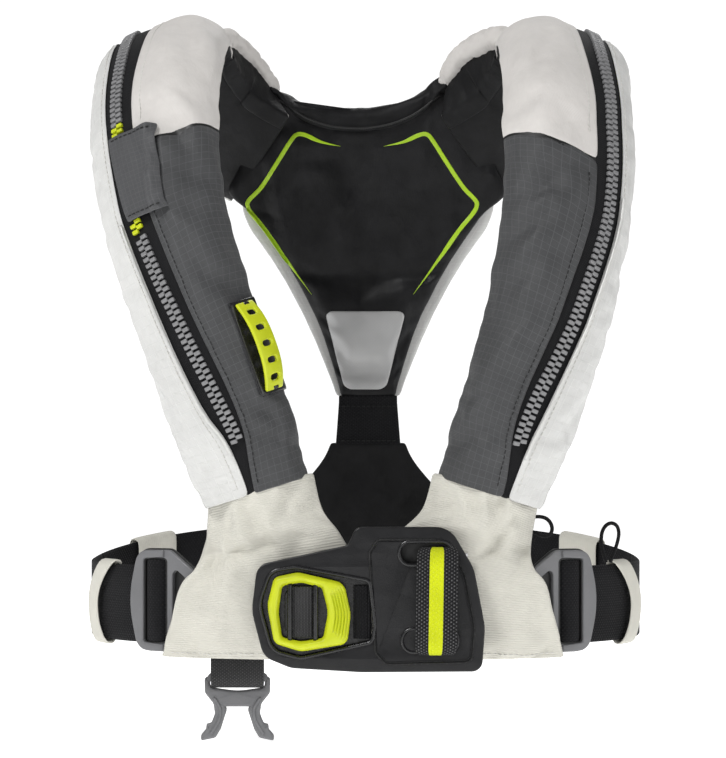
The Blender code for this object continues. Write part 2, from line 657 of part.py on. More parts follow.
def tether_loop():
    """The webbing loop for a safety line, with its ends in the plate's two slots, and the bars behind them."""
    rows = []
    half = LOOP_WIDTH / 2
    for t in spread(0, 1, 15):
        z = LOOP_FOOT + (LOOP_TOP - LOOP_FOOT) * (0.5 - 0.5 * math.cos(math.pi * t))
        reach = LOOP_REACH * math.sin(math.pi * t) ** 0.7
        y = PLATE_Y + 0.0030 - reach
        rows.append([Vector((LOOP_X + x, y, z)) for x in (-half, half)])
    loop = sheet("tether_loop", rows, 0.0024, "webbing_black", lambda point: Vector((0, -1, 0)))
    pivot(loop, (LOOP_X, PLATE_Y + 0.0020, 0))
    y, reach = PLATE_Y + PLATE_THICK + 0.0045, 0.019
    corners = ((-1, LOOP_TOP), (1, LOOP_TOP), (1, LOOP_FOOT), (-1, LOOP_FOOT))
    tube("loop_anchor", [(LOOP_X + x * reach, y, z) for x, z in corners], 0.0022, "steel")


# ---- crotch strap -------------------------------------------------------------------------------------------
CLIP_HALF = (
    (0.0215, 0.0210, 0.003), (0.0215, 0.0030, 0.003), (0.0140, -0.0060, 0.004), (0.0155, -0.0150, 0.002),
    (0.0205, -0.0170, 0.002), (0.0225, -0.0225, 0.003), (0.0190, -0.0265, 0.002), (0.0120, -0.0235, 0.002),
    (0.0085, -0.0060, 0.003),
)
CLIP_WINDOW = ((-0.0180, 0.0040, 0.002), (0.0180, 0.0040, 0.002), (0.0180, 0.0160, 0.002), (-0.0180, 0.0160, 0.002))
CLIP_Z = CROTCH_TOP - 0.0265


def crotch_strap():
    """The webbing loop below the right waist panel, and the fork clip that hangs in it."""
    centre_z = CLIP_Z + 0.0185
    outer, inner = [], []
    for a in spread(0, 330, 11):
        c, s = math.cos(math.radians(a)), math.sin(math.radians(a))
        lift = 0.0070 if s > 0 else 0
        outer.append((0.0075 * c, 0.0075 * s + lift))
        inner.append((0.0055 * c, 0.0055 * s + lift))
    mesh = flat_mesh("crotch_webbing", [outer, inner], CROTCH_WIDTH)
    turn = Matrix(((0, 0, 1), (1, 0, 0), (0, 1, 0))).to_4x4()
    mesh.transform(Matrix.Translation((CROTCH_X, CROTCH_Y, centre_z)) @ turn)
    pivot(keep("crotch_webbing", mesh, "webbing_grey"), (CROTCH_X, CROTCH_Y, centre_z + 0.016))
    right = list(CLIP_HALF)
    left = [(-x, z, r) for x, z, r in reversed(CLIP_HALF)]
    loops = [rounded(right + left, 2), rounded(CLIP_WINDOW, 2)]
    mesh = flat_mesh("crotch_clip", loops, 0.0050, 0.0010)
    mesh.transform(Matrix.Translation((CROTCH_X, CROTCH_Y, CLIP_Z)) @ FRONT)
    pivot(keep("crotch_clip", mesh, "grey_plastic"), (CROTCH_X, CROTCH_Y, centre_z))


# ---- manual inflation handle and zip tab --------------------------------------------------------------------
HANDLE_STATION, HANDLE_ANGLE, HANDLE_LONG, HANDLE_WIDE = 3.25, 24, 0.060, 0.017
HANDLE_BOW, HANDLE_LIFT, HANDLE_THICK = 0.0075, 0.0058, 0.0026
HANDLE_SLOTS, SLOT_STEP = 5, 0.185  # the slots' distance apart, as a share of the handle's length


def handle_frame():
    """The pull handle's own axes on the right lobe: X across it, Y up it and Z out of the cover."""
    at = lobe_point(HANDLE_STATION, HANDLE_ANGLE)
    up = (lobe_point(HANDLE_STATION + 0.2, HANDLE_ANGLE) - lobe_point(HANDLE_STATION - 0.2, HANDLE_ANGLE)).normalized()
    side = lobe_point(HANDLE_STATION, HANDLE_ANGLE - 8) - lobe_point(HANDLE_STATION, HANDLE_ANGLE + 8)
    side = (side - up * side.dot(up)).normalized()
    out = side.cross(up)
    return Matrix.Translation(at) @ Matrix((side, up, out)).transposed().to_4x4()


def pull_handle():
    """The lime bowed handle with five slots, its black seat and the lanyard behind it."""
    place = handle_frame()
    box("pull_handle_seat", (0.022, 0.066, 0.0012), place @ Matrix.Translation((0, 0, 0.0022)), "black_plastic", 0.0004)
    rows = []
    for t in spread(-1, 1, 12):
        z = HANDLE_LIFT + HANDLE_BOW * (1 - abs(t) ** 2.5)
        rows.append([place @ Vector((x * HANDLE_WIDE / 2, t * HANDLE_LONG / 2, z)) for x in (-1, 0, 1)])
    out = place.to_3x3() @ Vector((0, 0, 1))
    made = sheet("pull_handle", rows, HANDLE_THICK, "lime_plastic", lambda point: out)
    for i in range(HANDLE_SLOTS):
        y = (i - (HANDLE_SLOTS - 1) / 2) * HANDLE_LONG * SLOT_STEP
        slot = box(f"handle_slot_{i}", (0.0085, 0.0042, 0.030), place @ Matrix.Translation((0.001, y, 0.008)),
                   "black_plastic", collection=CUTTERS)
        cut(made, slot)


def zip_tab():
    """The grip-fastened tab over the place where the burst zip opens."""
    def low(s):
        return table(((4.85, 68), (5.8, 74)), s)

    def high(s):
        return table(((4.85, 106), (5.8, 114)), s)

    lobe_patch("zip_tab", -1, spread(4.85, 5.8, 4), low, high, 0.0055, 0.0012, "grey_ripstop", across=5)


# ---- what the lobes hold ------------------------------------------------------------------------------------
def inside_place(s, across, out):
    """Axes inside the right lobe at station s: Z along the lobe, X across it towards the neck, Y inwards."""
    centre, side, normal, _, _ = lobe_frame(s)
    up = side.cross(-normal)
    turn = Matrix((side, -normal, up)).transposed().to_4x4()
    return Matrix.Translation(centre + side * across + normal * out) @ turn


def inflator():
    """The gas cylinder and firing head in the right lobe. The lever is pulled by the handle's lanyard."""
    place = inside_place(3.0, -0.001, 0.0115)
    r = 0.0120
    profile = [(0, 0.052), (0.0045, 0.052), (0.0048, 0.043), (0.0080, 0.039), (r, 0.030), (r, -0.044),
               (0.0100, -0.050), (0.0050, -0.053), (0, -0.0535)]
    turned("gas_cylinder", profile, place @ Matrix.Translation((0, 0, -0.012)), "steel", 16)
    head = place @ Matrix.Translation((0, 0, 0.0545))
    box("inflator_body", (0.026, 0.021, 0.026), head, "black_plastic", 0.002)
    turned("inflator_cap", [(0, 0.018), (0.0085, 0.018), (0.0095, 0.015), (0.0095, 0.0005), (0, 0.0005)],
           head @ Matrix.Translation((0, 0, 0.0133)), "lime_plastic", 16)
    lever = head @ Matrix.Translation((0.0160, 0, -0.002))
    foot = (head @ Matrix.Translation((0.0160, 0, 0.008))).translation
    pivot(box("inflator_lever", (0.0040, 0.0070, 0.024), lever, "lime_plastic", 0.0008), foot)


def mirrored_place(place):
    """The mirror image of a place in the right lobe, for the left lobe."""
    flip = Matrix.Diagonal((-1, 1, 1, 1))
    lean = Matrix.Translation((table(LEFT_LEAN, place.translation.z), 0, 0))
    return lean @ flip @ place @ flip


def oral_tube():
    """The oral inflation tube with its dust cap, the whistle and the rescue light in the left lobe."""
    place = mirrored_place(inside_place(4.2, 0.004, 0.0120))
    turned("oral_tube", [(0, 0.030), (0.0065, 0.030), (0.0065, 0.020), (0.0050, 0.019), (0.0050, -0.034), (0, -0.034)],
           place, "black_plastic", 14)
    turned("oral_tube_cap", [(0, 0.043), (0.0075, 0.043), (0.0085, 0.041), (0.0085, 0.0305), (0, 0.0305)],
           place, "lime_plastic", 14)
    whistle = mirrored_place(inside_place(4.2, -0.022, 0.0100))
    box("whistle", (0.010, 0.0075, 0.044), whistle, "lime_plastic", 0.0015)
    light = mirrored_place(inside_place(2.75, 0.006, 0.0110))
    box("light_unit", (0.026, 0.017, 0.036), light, "black_plastic", 0.002)
    turned("light_lens", [(0, 0.014), (0.0050, 0.0125), (0.0080, 0.007), (0.0080, 0.0005), (0, 0.0005)],
           light @ Matrix.Translation((0, 0, 0.0183)), "clear_lens", 14)


# ---- elastic cord loops on the belt -------------------------------------------------------------------------
CORD_RADIUS = 0.00125
# Route points of the larger loop beside the left adjuster, foot to foot.
CORD_LARGE = (
    (0.1590, -0.0805, 0.0235), (0.1573, -0.0800, 0.0290), (0.1558, -0.0795, 0.0360), (0.1563, -0.0790, 0.0430),
    (0.1588, -0.0785, 0.0475), (0.1626, -0.0780, 0.0492), (0.1662, -0.0775, 0.0472), (0.1674, -0.0773, 0.0420),
    (0.1660, -0.0775, 0.0350), (0.1636, -0.0780, 0.0285), (0.1616, -0.0785, 0.0235),
)
# The smaller loop comes out from behind the left waist panel and goes back behind it.
CORD_SMALL = (
    (0.1085, -0.1035, 0.0540), (0.1140, -0.1048, 0.0545), (0.1185, -0.1065, 0.0535), (0.1215, -0.1080, 0.0505),
    (0.1225, -0.1085, 0.0465), (0.1210, -0.1088, 0.0430), (0.1180, -0.1090, 0.0420), (0.1150, -0.1090, 0.0426),
    (0.1100, -0.1075, 0.0448),
)


def build():
    start()
    for label, side in SIDES:
        front_lobe(label, side)
        rear_lobe(label, side)
        waist_panel(label, side)
        side_belts(label, side)
        adjuster(label, side)
    bladder("right_bladder_arm", -1, 4.85, 7.6, 0.0045, 10)
    bladder("left_bladder_arm", 1, 5.25, 7.6, 0.0045, 10)
    collar()
    yoke()
    belt_run("back_belt", BELT_SPLIT, 180 - BELT_SPLIT, lambda a: BELT_LIFT, 22)
    buckle()
    tether_loop()
    crotch_strap()
    pull_handle()
    zip_tab()
    inflator()
    oral_tube()
    tube("large_cord_loop", CORD_LARGE, CORD_RADIUS, "webbing_black")
    tube("small_cord_loop", CORD_SMALL, CORD_RADIUS, "webbing_black")


build()
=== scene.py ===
"""The looks of an inflatable life jacket with harness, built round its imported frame.

Units are metres, +Z is up, the wearer faces -Y and the wearer's right is at -X."""

import math

import bmesh
import bpy
from mathutils import Matrix, Vector, noise
from mathutils.bvhtree import BVHTree


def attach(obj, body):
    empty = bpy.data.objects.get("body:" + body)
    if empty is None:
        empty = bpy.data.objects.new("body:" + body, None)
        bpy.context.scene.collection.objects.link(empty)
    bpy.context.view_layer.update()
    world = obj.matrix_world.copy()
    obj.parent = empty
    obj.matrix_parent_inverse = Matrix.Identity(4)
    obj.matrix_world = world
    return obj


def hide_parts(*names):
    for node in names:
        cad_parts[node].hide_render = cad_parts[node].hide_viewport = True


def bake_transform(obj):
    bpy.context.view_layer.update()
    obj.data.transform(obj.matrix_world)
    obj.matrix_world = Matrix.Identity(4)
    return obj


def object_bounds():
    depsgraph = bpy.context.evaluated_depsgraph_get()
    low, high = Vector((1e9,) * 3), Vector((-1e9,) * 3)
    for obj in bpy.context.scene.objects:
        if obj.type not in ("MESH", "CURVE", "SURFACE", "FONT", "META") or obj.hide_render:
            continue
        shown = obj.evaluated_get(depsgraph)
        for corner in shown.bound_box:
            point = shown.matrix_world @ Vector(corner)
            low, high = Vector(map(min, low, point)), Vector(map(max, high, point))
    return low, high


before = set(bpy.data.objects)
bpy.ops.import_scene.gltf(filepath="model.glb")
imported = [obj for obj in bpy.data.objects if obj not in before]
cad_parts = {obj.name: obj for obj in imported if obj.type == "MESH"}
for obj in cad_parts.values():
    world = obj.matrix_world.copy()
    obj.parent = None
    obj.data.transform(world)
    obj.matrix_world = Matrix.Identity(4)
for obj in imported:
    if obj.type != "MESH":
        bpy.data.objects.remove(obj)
CAD_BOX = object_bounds()
scene = bpy.context.scene

# ---- dimensions shared with the frame ------------------------------------------------------------
BELT_WIDTH, BELT_THICK, BELT_LIFT, BELT_RISE = 0.050, 0.0022, 0.0075, 0.020
WAIST_HALF_WIDTH, WAIST_FRONT, WAIST_BACK, WAIST_POWER = 0.178, 0.122, 0.104, 2.4
# Stations up the right lobe: centre x, y, z of the skin side, half width, and the cover's bulge.
LOBE = (
    (-0.048, -0.116, -0.010, 0.022, 0.008), (-0.060, -0.118, 0.045, 0.031, 0.020),
    (-0.0755, -0.118, 0.095, 0.0370, 0.030), (-0.0910, -0.118, 0.140, 0.0385, 0.034),
    (-0.1092, -0.113, 0.195, 0.0400, 0.036), (-0.1262, -0.101, 0.252, 0.0430, 0.035),
    (-0.1345, -0.083, 0.302, 0.0450, 0.031), (-0.1350, -0.050, 0.342, 0.0450, 0.027),
    (-0.1350, 0.000, 0.358, 0.0455, 0.025), (-0.135, 0.050, 0.342, 0.048, 0.022),
    (-0.114, 0.080, 0.320, 0.046, 0.019), (-0.0765, 0.0925, 0.2995, 0.040, 0.014),
)
LOBE_FOOT, LOBE_END = 1.5, 11.0
CHEST_A, CHEST_B = 0.165, 0.110
SHOULDER_START, SHOULDER_TURN = 0.250, 140.0
SKIN_DEPTH, SECTION_POWER = 0.007, 0.85
EDGE_IN, EDGE_OUT = -14, 198
LEFT_LEAN = (
    (-0.04, 0.0), (0.02, 0.002), (0.06, 0.013), (0.10, 0.015), (0.18, 0.012), (0.25, 0.003), (0.31, -0.003),
)
# Half the yoke pad's width at each height, and the depth of the back.
PAD_EDGE = (
    (0.129, 0.0216), (0.147, 0.0266), (0.166, 0.0326), (0.182, 0.038), (0.197, 0.0454), (0.220, 0.0574),
    (0.237, 0.0688), (0.254, 0.0808), (0.272, 0.0945), (0.300, 0.0735), (0.326, 0.0510),
)
BACK_DEPTH = ((-0.05, 0.100), (0.05, 0.098), (0.15, 0.101), (0.22, 0.101), (0.28, 0.094), (0.34, 0.083))
BACK_POWER = 2.4
PAD_THICK = 0.009
WAIST_PANEL = (
    ((-0.0310, -0.1275, 0.0850), (-0.1000, -0.1085, 0.0665), 0.0240),
    ((-0.0250, -0.1285, 0.0610), (-0.1020, -0.1115, 0.0420), 0.0230),
    ((-0.0140, -0.1300, 0.0450), (-0.1060, -0.1220, 0.0270), 0.0100),
    ((-0.0050, -0.1310, 0.0280), (-0.1170, -0.1250, 0.0120), 0.0060),
    ((-0.0025, -0.1315, 0.0080), (-0.1220, -0.1240, -0.0040), 0.0055),
    ((-0.0025, -0.1315, -0.0180), (-0.1270, -0.1225, -0.0220), 0.0050),
    ((-0.0025, -0.1300, -0.0370), (-0.1310, -0.1200, -0.0360), 0.0040),
)
PANEL_OUT = Vector((-0.30, -1.0, 0.0)).normalized()
PANEL_CROWN = 2.2
PLATE_Y, PLATE_THICK = -0.1500, 0.0045
PLATE = (
    (-0.0665, 0.0255, 0.010), (-0.0090, 0.0380, 0.004), (-0.0035, 0.0497, 0.006), (0.0560, 0.0497, 0.016),
    (0.0715, 0.0230, 0.030), (0.0785, -0.0140, 0.030), (0.0765, -0.0422, 0.007), (0.0000, -0.0428, 0.060),
    (-0.0450, -0.0402, 0.020), (-0.0625, -0.0330, 0.012), (-0.0700, -0.0040, 0.030),
)
RECESS = (
    (-0.0640, 0.0010, 0.020), (-0.0570, 0.0205, 0.008), (-0.0415, 0.0228, 0.012), (0.0040, 0.0145, 0.003),
    (0.0072, -0.0130, 0.010), (0.0055, -0.0225, 0.003), (-0.0390, -0.0325, 0.012), (-0.0560, -0.0280, 0.010),
)
RING = (
    (-0.0600, 0.0000, 0.020), (-0.0556, 0.0178, 0.005), (-0.0405, 0.0210, 0.012),
    (-0.0110, 0.0142, 0.008), (-0.0068, -0.0055, 0.020), (-0.0090, -0.0245, 0.006),
    (-0.0385, -0.0294, 0.012), (-0.0555, -0.0242, 0.006),
)
RING_HOLE = (
    (-0.0527, -0.0045, 0.020), (-0.0505, 0.0122, 0.003), (-0.0384, 0.0146, 0.012),
    (-0.0252, 0.0112, 0.003), (-0.0212, -0.0042, 0.020), (-0.0244, -0.0208, 0.003),
    (-0.0384, -0.0230, 0.012), (-0.0505, -0.0204, 0.003),
)
RING_THICK = 0.0075
LOOP_X, LOOP_WIDTH, LOOP_TOP, LOOP_FOOT, LOOP_REACH = 0.0480, 0.027, 0.0370, -0.0320, 0.017
CROTCH_X, CROTCH_Y, CROTCH_TOP, CROTCH_WIDTH = -0.0815, -0.1030, -0.0385, 0.034
ADJUSTER = (
    (-0.003, 0.0175, 0.004), (0.020, 0.0330, 0.007), (0.046, 0.0325, 0.010), (0.0535, 0.0000, 0.070),
    (0.046, -0.0325, 0.010), (0.014, -0.0325, 0.006), (-0.003, -0.0180, 0.004),
)
CORD_RADIUS = 0.00125
CORD_LARGE = (
    (0.1590, -0.0805, 0.0235), (0.1573, -0.0800, 0.0290), (0.1558, -0.0795, 0.0360),
    (0.1563, -0.0790, 0.0430), (0.1588, -0.0785, 0.0475), (0.1626, -0.0780, 0.0492),
    (0.1662, -0.0775, 0.0472), (0.1674, -0.0773, 0.0420), (0.1660, -0.0775, 0.0350),
    (0.1636, -0.0780, 0.0285), (0.1616, -0.0785, 0.0235),
)
CORD_SMALL = (
    (0.1085, -0.1035, 0.0540), (0.1140, -0.1048, 0.0545), (0.1185, -0.1065, 0.0535),
    (0.1215, -0.1080, 0.0505), (0.1225, -0.1085, 0.0465), (0.1210, -0.1088, 0.0430),
    (0.1180, -0.1090, 0.0420), (0.1150, -0.1090, 0.0426), (0.1100, -0.1075, 0.0448),
)

# ---- dimensions of the looks ------------------------------------------------------------------------
# Where the burst zip's tape runs on each lobe: (station, angle) of its inner and outer edges.
# Angle 0 is the neck side edge of the lobe's section, 90 its crown and 180 its arm side edge.
ZIP_EDGES = {
    -1: (
        ((1.5, 88), (2.0, 75), (2.5, 69), (3, 72), (4, 80), (5, 84), (6, 94), (7, 94), (8, 89), (9, 88),
         (11, 84)),
        ((1.5, 90.5), (1.9, 79), (2.4, 90), (3, 96), (4, 101), (5, 105), (6, 115), (7, 124), (8, 120),
         (9, 118), (11, 110)),
    ),
    1: (
        ((1.5, 98), (2.0, 86), (2.5, 78), (3, 80), (4, 88), (5, 94), (6, 99), (7, 94), (8, 91), (9, 90),
         (11, 86)),
        ((1.5, 100.5), (1.9, 90), (2.4, 94), (3, 98), (4, 107), (5, 118), (6, 124), (7, 122), (8, 114),
         (9, 112), (11, 108)),
    ),
}
# Creases pressed into the lobes: (station, angle) of both ends, depth and width.
CREASES = {
    -1: (
        ((5.50, 78), (5.05, 22), 0.0018, 0.007), ((4.10, 50), (3.80, 10), 0.0014, 0.008),
        ((2.15, 56), (1.95, 14), 0.0020, 0.006), ((5.85, 62), (5.25, 30), 0.0022, 0.009),
        ((4.6, 66), (4.1, 48), 0.0012, 0.006), ((7.2, 60), (6.5, 34), 0.0014, 0.010),
        ((2.6, 52), (2.2, 20), 0.0016, 0.007), ((4.9, 138), (4.75, 118), 0.0013, 0.004),
        ((7.6, 80), (6.9, 50), 0.0010, 0.008), ((3.2, 150), (2.5, 128), 0.0012, 0.008),
        ((1.95, 60), (1.8, 20), 0.0013, 0.006),
    ),
    1: (
        ((5.36, 74), (5.08, 26), 0.0020, 0.007), ((5.05, 62), (4.85, 12), 0.0018, 0.007),
        ((4.75, 58), (4.40, 10), 0.0016, 0.008), ((2.78, 62), (2.50, 12), 0.0020, 0.006),
        ((5.32, 70), (4.95, 36), 0.0014, 0.010), ((4.4, 60), (3.9, 30), 0.0014, 0.008),
        ((3.1, 62), (2.7, 30), 0.0015, 0.008), ((2.3, 60), (2.0, 20), 0.0016, 0.007),
        ((7.0, 66), (6.4, 40), 0.0013, 0.009), ((3.0, 150), (2.4, 120), 0.0012, 0.008),
        ((4.6, 160), (4.3, 136), 0.0010, 0.007),
    ),
}
CREASE_DEPTH = 2.5  # how much deeper than listed the creases are pressed
# Station of the dark panel's top on each lobe, and how far it falls towards the zip.
CHEST_TOP, CHEST_DROP = {-1: 5.80, 1: 5.69}, 0.18
PANEL_COLUMNS, ZIP_COLUMNS, OUTER_COLUMNS, LINING_COLUMNS = 16, 6, 15, 13
TO_ZIP, TO_OUTER = PANEL_COLUMNS, PANEL_COLUMNS + ZIP_COLUMNS
TO_LINING = TO_OUTER + OUTER_COLUMNS
COLUMNS = TO_LINING + LINING_COLUMNS
LOBE_ROWS = 94
FABRIC = 0.0013
TOOTH_PITCH, TOOTH_OFFSET, TOOTH_LIFT, TOOTH_EDGE = 0.0042, 0.0021, 0.0009, 0.00045
TOOTH = (0.0043, 0.0026, 0.0026)
CLOTH_FRAMES = 20


# ---- reading tables and curves -------------------------------------------------------------------
def table(pairs, at):
    """Straight-line reading of a table of (key, value) pairs in rising order of key."""
    for (a, low), (b, high) in zip(pairs, pairs[1:]):
        if at <= b:
            return low + (high - low) * max(0.0, (at - a) / (b - a))
    return pairs[-1][1]


def soft_table(pairs, at, reach):
    """The table's reading, averaged over reach to both sides."""
    return sum(table(pairs, at + reach * k / 2) for k in range(-2, 3)) / 5


def spread(start_at, end_at, count):
    """count + 1 evenly spaced values from start_at to end_at."""
    return [start_at + (end_at - start_at) * i / count for i in range(count + 1)]


def catmull(points, t):
    """The point at t, which runs from 0 to len(points) - 1, of a smooth curve through points."""
    i = min(max(int(t), 0), len(points) - 2)
    f = t - i
    p0, p1, p2, p3 = [points[min(max(i + k, 0), len(points) - 1)] for k in (-1, 0, 1, 2)]
    bend, twist = 2 * p0 - 5 * p1 + 4 * p2 - p3, 3 * p1 - p0 - 3 * p2 + p3
    return 0.5 * (2 * p1 + (p2 - p0) * f + bend * f ** 2 + twist * f ** 3)


def smooth_path(points, steps):
    """points joined by a smooth curve with steps stretches between each two."""
    vectors = [Vector(point) for point in points]
    return [catmull(vectors, i / steps) for i in range((len(points) - 1) * steps + 1)]


def rounded(corners, steps=8):
    """The points of a flat outline whose corners (x, y, radius) are rounded with arcs."""
    points = []
    for i, (x, y, radius) in enumerate(corners):
        here = Vector((x, y))
        back = Vector(corners[i - 1][:2]) - here
        ahead = Vector(corners[(i + 1) % len(corners)][:2]) - here
        half = back.angle(ahead) / 2
        reach = min(radius / math.tan(half), 0.48 * back.length, 0.48 * ahead.length)
        radius = reach * math.tan(half)
        centre = here + (back.normalized() + ahead.normalized()).normalized() * radius / math.sin(half)
        first = here + back.normalized() * reach - centre
        turn = first.angle_signed(here + ahead.normalized() * reach - centre)
        for step in range(steps + 1):
            arm = first.copy()
            arm.rotate(Matrix.Rotation(-turn * step / steps, 2))
            points.append(centre + arm)
    return points


def turns(count):
    """count angles evenly round a full turn."""
    return [2 * math.pi * k / count for k in range(count)]


def heading(path, i):
    """The direction of a path at its point i."""
    return (path[min(i + 1, len(path) - 1)] - path[max(i - 1, 0)]).normalized()


def axes_at(origin, x, y, z):
    """The matrix that carries the world's axes to the directions x, y and z at origin."""
    return Matrix.Translation(origin) @ Matrix((x, y, z)).transposed().to_4x4()


def grown(loop, by):
    """A closed flat outline pushed outwards by a distance, or inwards where it is negative."""
    area = sum(a.x * b.y - b.x * a.y for a, b in zip(loop, loop[1:] + loop[:1]))
    out = math.copysign(1.0, area)
    made = []
    for i, point in enumerate(loop):
        along = loop[(i + 1) % len(loop)] - loop[i - 1]
        made.append(point + Vector((along.y, -along.x)).normalized() * by * out)
    return made


# ---- the body that the jacket is shaped on -------------------------------------------------------
def waist_point(degrees, z, lift=0.0):
    """A point on the waist's plan curve. 0 is the wearer's left at +X, 90 the back, 270 the front."""
    c, s = math.cos(math.radians(degrees)), math.sin(math.radians(degrees))
    depth = WAIST_BACK if s > 0 else WAIST_FRONT
    power = 2 / WAIST_POWER
    x = math.copysign(abs(c) ** power, c) * (WAIST_HALF_WIDTH + lift)
    y = math.copysign(abs(s) ** power, s) * (depth + lift)
    return Vector((x, y, z))


def belt_z(degrees):
    """Mid height of the belt round the waist."""
    return -0.003 + BELT_RISE * max(0.0, math.sin(math.radians(degrees))) ** 1.5


def back_point(x, z, lift=0.0):
    depth = table(BACK_DEPTH, z)
    return Vector((x, depth * (1 - abs(x / WAIST_HALF_WIDTH) ** BACK_POWER) ** (1 / BACK_POWER) + lift, z))


def lobe_frame(s):
    """Centre, direction across towards the neck, outward normal, half width and bulge at station s."""
    i = min(max(int(s), 0), len(LOBE) - 2)
    t = s - i
    at, slope = [], []
    for p0, p1, p2, p3 in zip(*[LOBE[min(max(i + k, 0), len(LOBE) - 1)] for k in (-1, 0, 1, 2)]):
        a, b, c = 2 * p0 - 5 * p1 + 4 * p2 - p3, 3 * p1 - p0 - 3 * p2 + p3, p2 - p0
        at.append(0.5 * (2 * p1 + c * t + a * t * t + b * t ** 3))
        slope.append(0.5 * (c + 2 * a * t + 3 * b * t * t))
    centre, tangent = Vector(at[:3]), Vector(slope[:3]).normalized()
    above = max(0.0, centre.z - SHOULDER_START) * SHOULDER_TURN
    out = Vector((centre.x / CHEST_A ** 2, centre.y / CHEST_B ** 2, above))
    normal = (out - tangent * out.dot(tangent)).normalized()
    return centre, tangent.cross(normal), normal, at[3], at[4]


def lobe_point(s, degrees, lift=0.0):
    """A point on the right lobe's section at station s."""
    centre, across, normal, half, bulge = lobe_frame(s)
    c, n = math.cos(math.radians(degrees)), math.sin(math.radians(degrees))
    depth = (bulge if n > 0 else SKIN_DEPTH) + lift
    c = math.copysign(abs(c) ** SECTION_POWER, c)
    n = math.copysign(abs(n) ** SECTION_POWER, n)
    return centre + across * c * (half + lift) + normal * n * depth


def sided(point, side):
    return Vector((point[0] * -side, point[1], point[2]))


def on_lobe(point, side):
    """A point of the right lobe, or the matching one of the left lobe, which hangs a little further out."""
    lean = table(LEFT_LEAN, point[2]) if side > 0 else 0.0
    return sided(point, side) + Vector((lean, 0, 0))


SIDES = (("right", -1), ("left", 1))
TO_FRONT = Vector((0, -1, 0))


# ---- materials -----------------------------------------------------------------------------------
class Look:
    """A node material being made. Its methods add nodes and give back their outputs."""

    def __init__(self, name, roughness, metallic=0.0, sheen=0.0, coat=0.0, specular=0.5):
        self.made = bpy.data.materials.new(name)
        self.made.use_nodes = True
        self.nodes, self.links = self.made.node_tree.nodes, self.made.node_tree.links
        self.shader = self.nodes["Principled BSDF"]
        self.set("Roughness", roughness)
        self.set("Metallic", metallic)
        self.set("Sheen Weight", sheen)
        self.set("Coat Weight", coat)
        self.set("Specular IOR Level", specular)
        self.normal = None

    def plug(self, socket, value):
        if isinstance(value, bpy.types.NodeSocket):
            self.links.new(value, socket)
        elif isinstance(value, tuple) and socket.type == "RGBA":
            socket.default_value = (*value, 1.0)
        else:
            socket.default_value = value

    def set(self, name, value):
        self.plug(self.shader.inputs[name], value)

    def add(self, kind, output, inputs, **settings):
        node = self.nodes.new(kind)
        for key, value in settings.items():
            setattr(node, key, value)
        for key, value in inputs.items():
            self.plug(node.inputs[key], value)
        return node.outputs[output]

    def math(self, operation, a, b=0.0):
        return self.add("ShaderNodeMath", 0, {0: a, 1: b}, operation=operation)

    def along(self, axis, source="UV"):
        """One coordinate of the surface in metres: U or V, or the object's X, Y or Z."""
        whole = self.add("ShaderNodeTexCoord", source, {})
        return self.add("ShaderNodeSeparateXYZ", axis, {0: whole})

    def noise(self, size, detail=2.0, source="Object", stretch=(1, 1, 1)):
        """Soft noise from 0 to 1 whose features are about size metres across."""
        whole = self.add("ShaderNodeTexCoord", source, {})
        scaled = self.add("ShaderNodeVectorMath", 0, {0: whole, 1: stretch}, operation="MULTIPLY")
        return self.add("ShaderNodeTexNoise", "Fac", {"Vector": scaled, "Scale": 1 / size, "Detail": detail})

    def wave(self, value, period, phase=0.0):
        """A ripple from 0 to 1 along a coordinate."""
        turned = self.math("ADD", self.math("MULTIPLY", value, 2 * math.pi / period), phase)
        return self.math("MULTIPLY", self.math("ADD", self.math("SINE", turned), 1.0), 0.5)

    def line(self, value, period, width):
        """1 on thin lines that repeat along a coordinate, and 0 between them."""
        return self.math("LESS_THAN", self.math("PINGPONG", value, period / 2), width / 2)

    def fit(self, value, low, high, to_low=0.0, to_high=1.0):
        names = ("Value", "From Min", "From Max", "To Min", "To Max")
        return self.add("ShaderNodeMapRange", 0, dict(zip(names, (value, low, high, to_low, to_high))))

    def mix(self, factor, a, b):
        """Colour a where factor is 0 and b where it is 1."""
        return self.add("ShaderNodeMix", 2, {0: factor, 6: a, 7: b}, data_type="RGBA")

    def bump(self, height, distance):
        """Adds a relief of distance metres to what the surface already has."""
        inputs = {"Height": height, "Distance": distance, "Strength": 1.0}
        if self.normal:
            inputs["Normal"] = self.normal
        self.normal = self.add("ShaderNodeBump", 0, inputs)
        self.set("Normal", self.normal)


def shade(colour, by):
    return tuple(min(1.0, channel * by) for channel in colour)


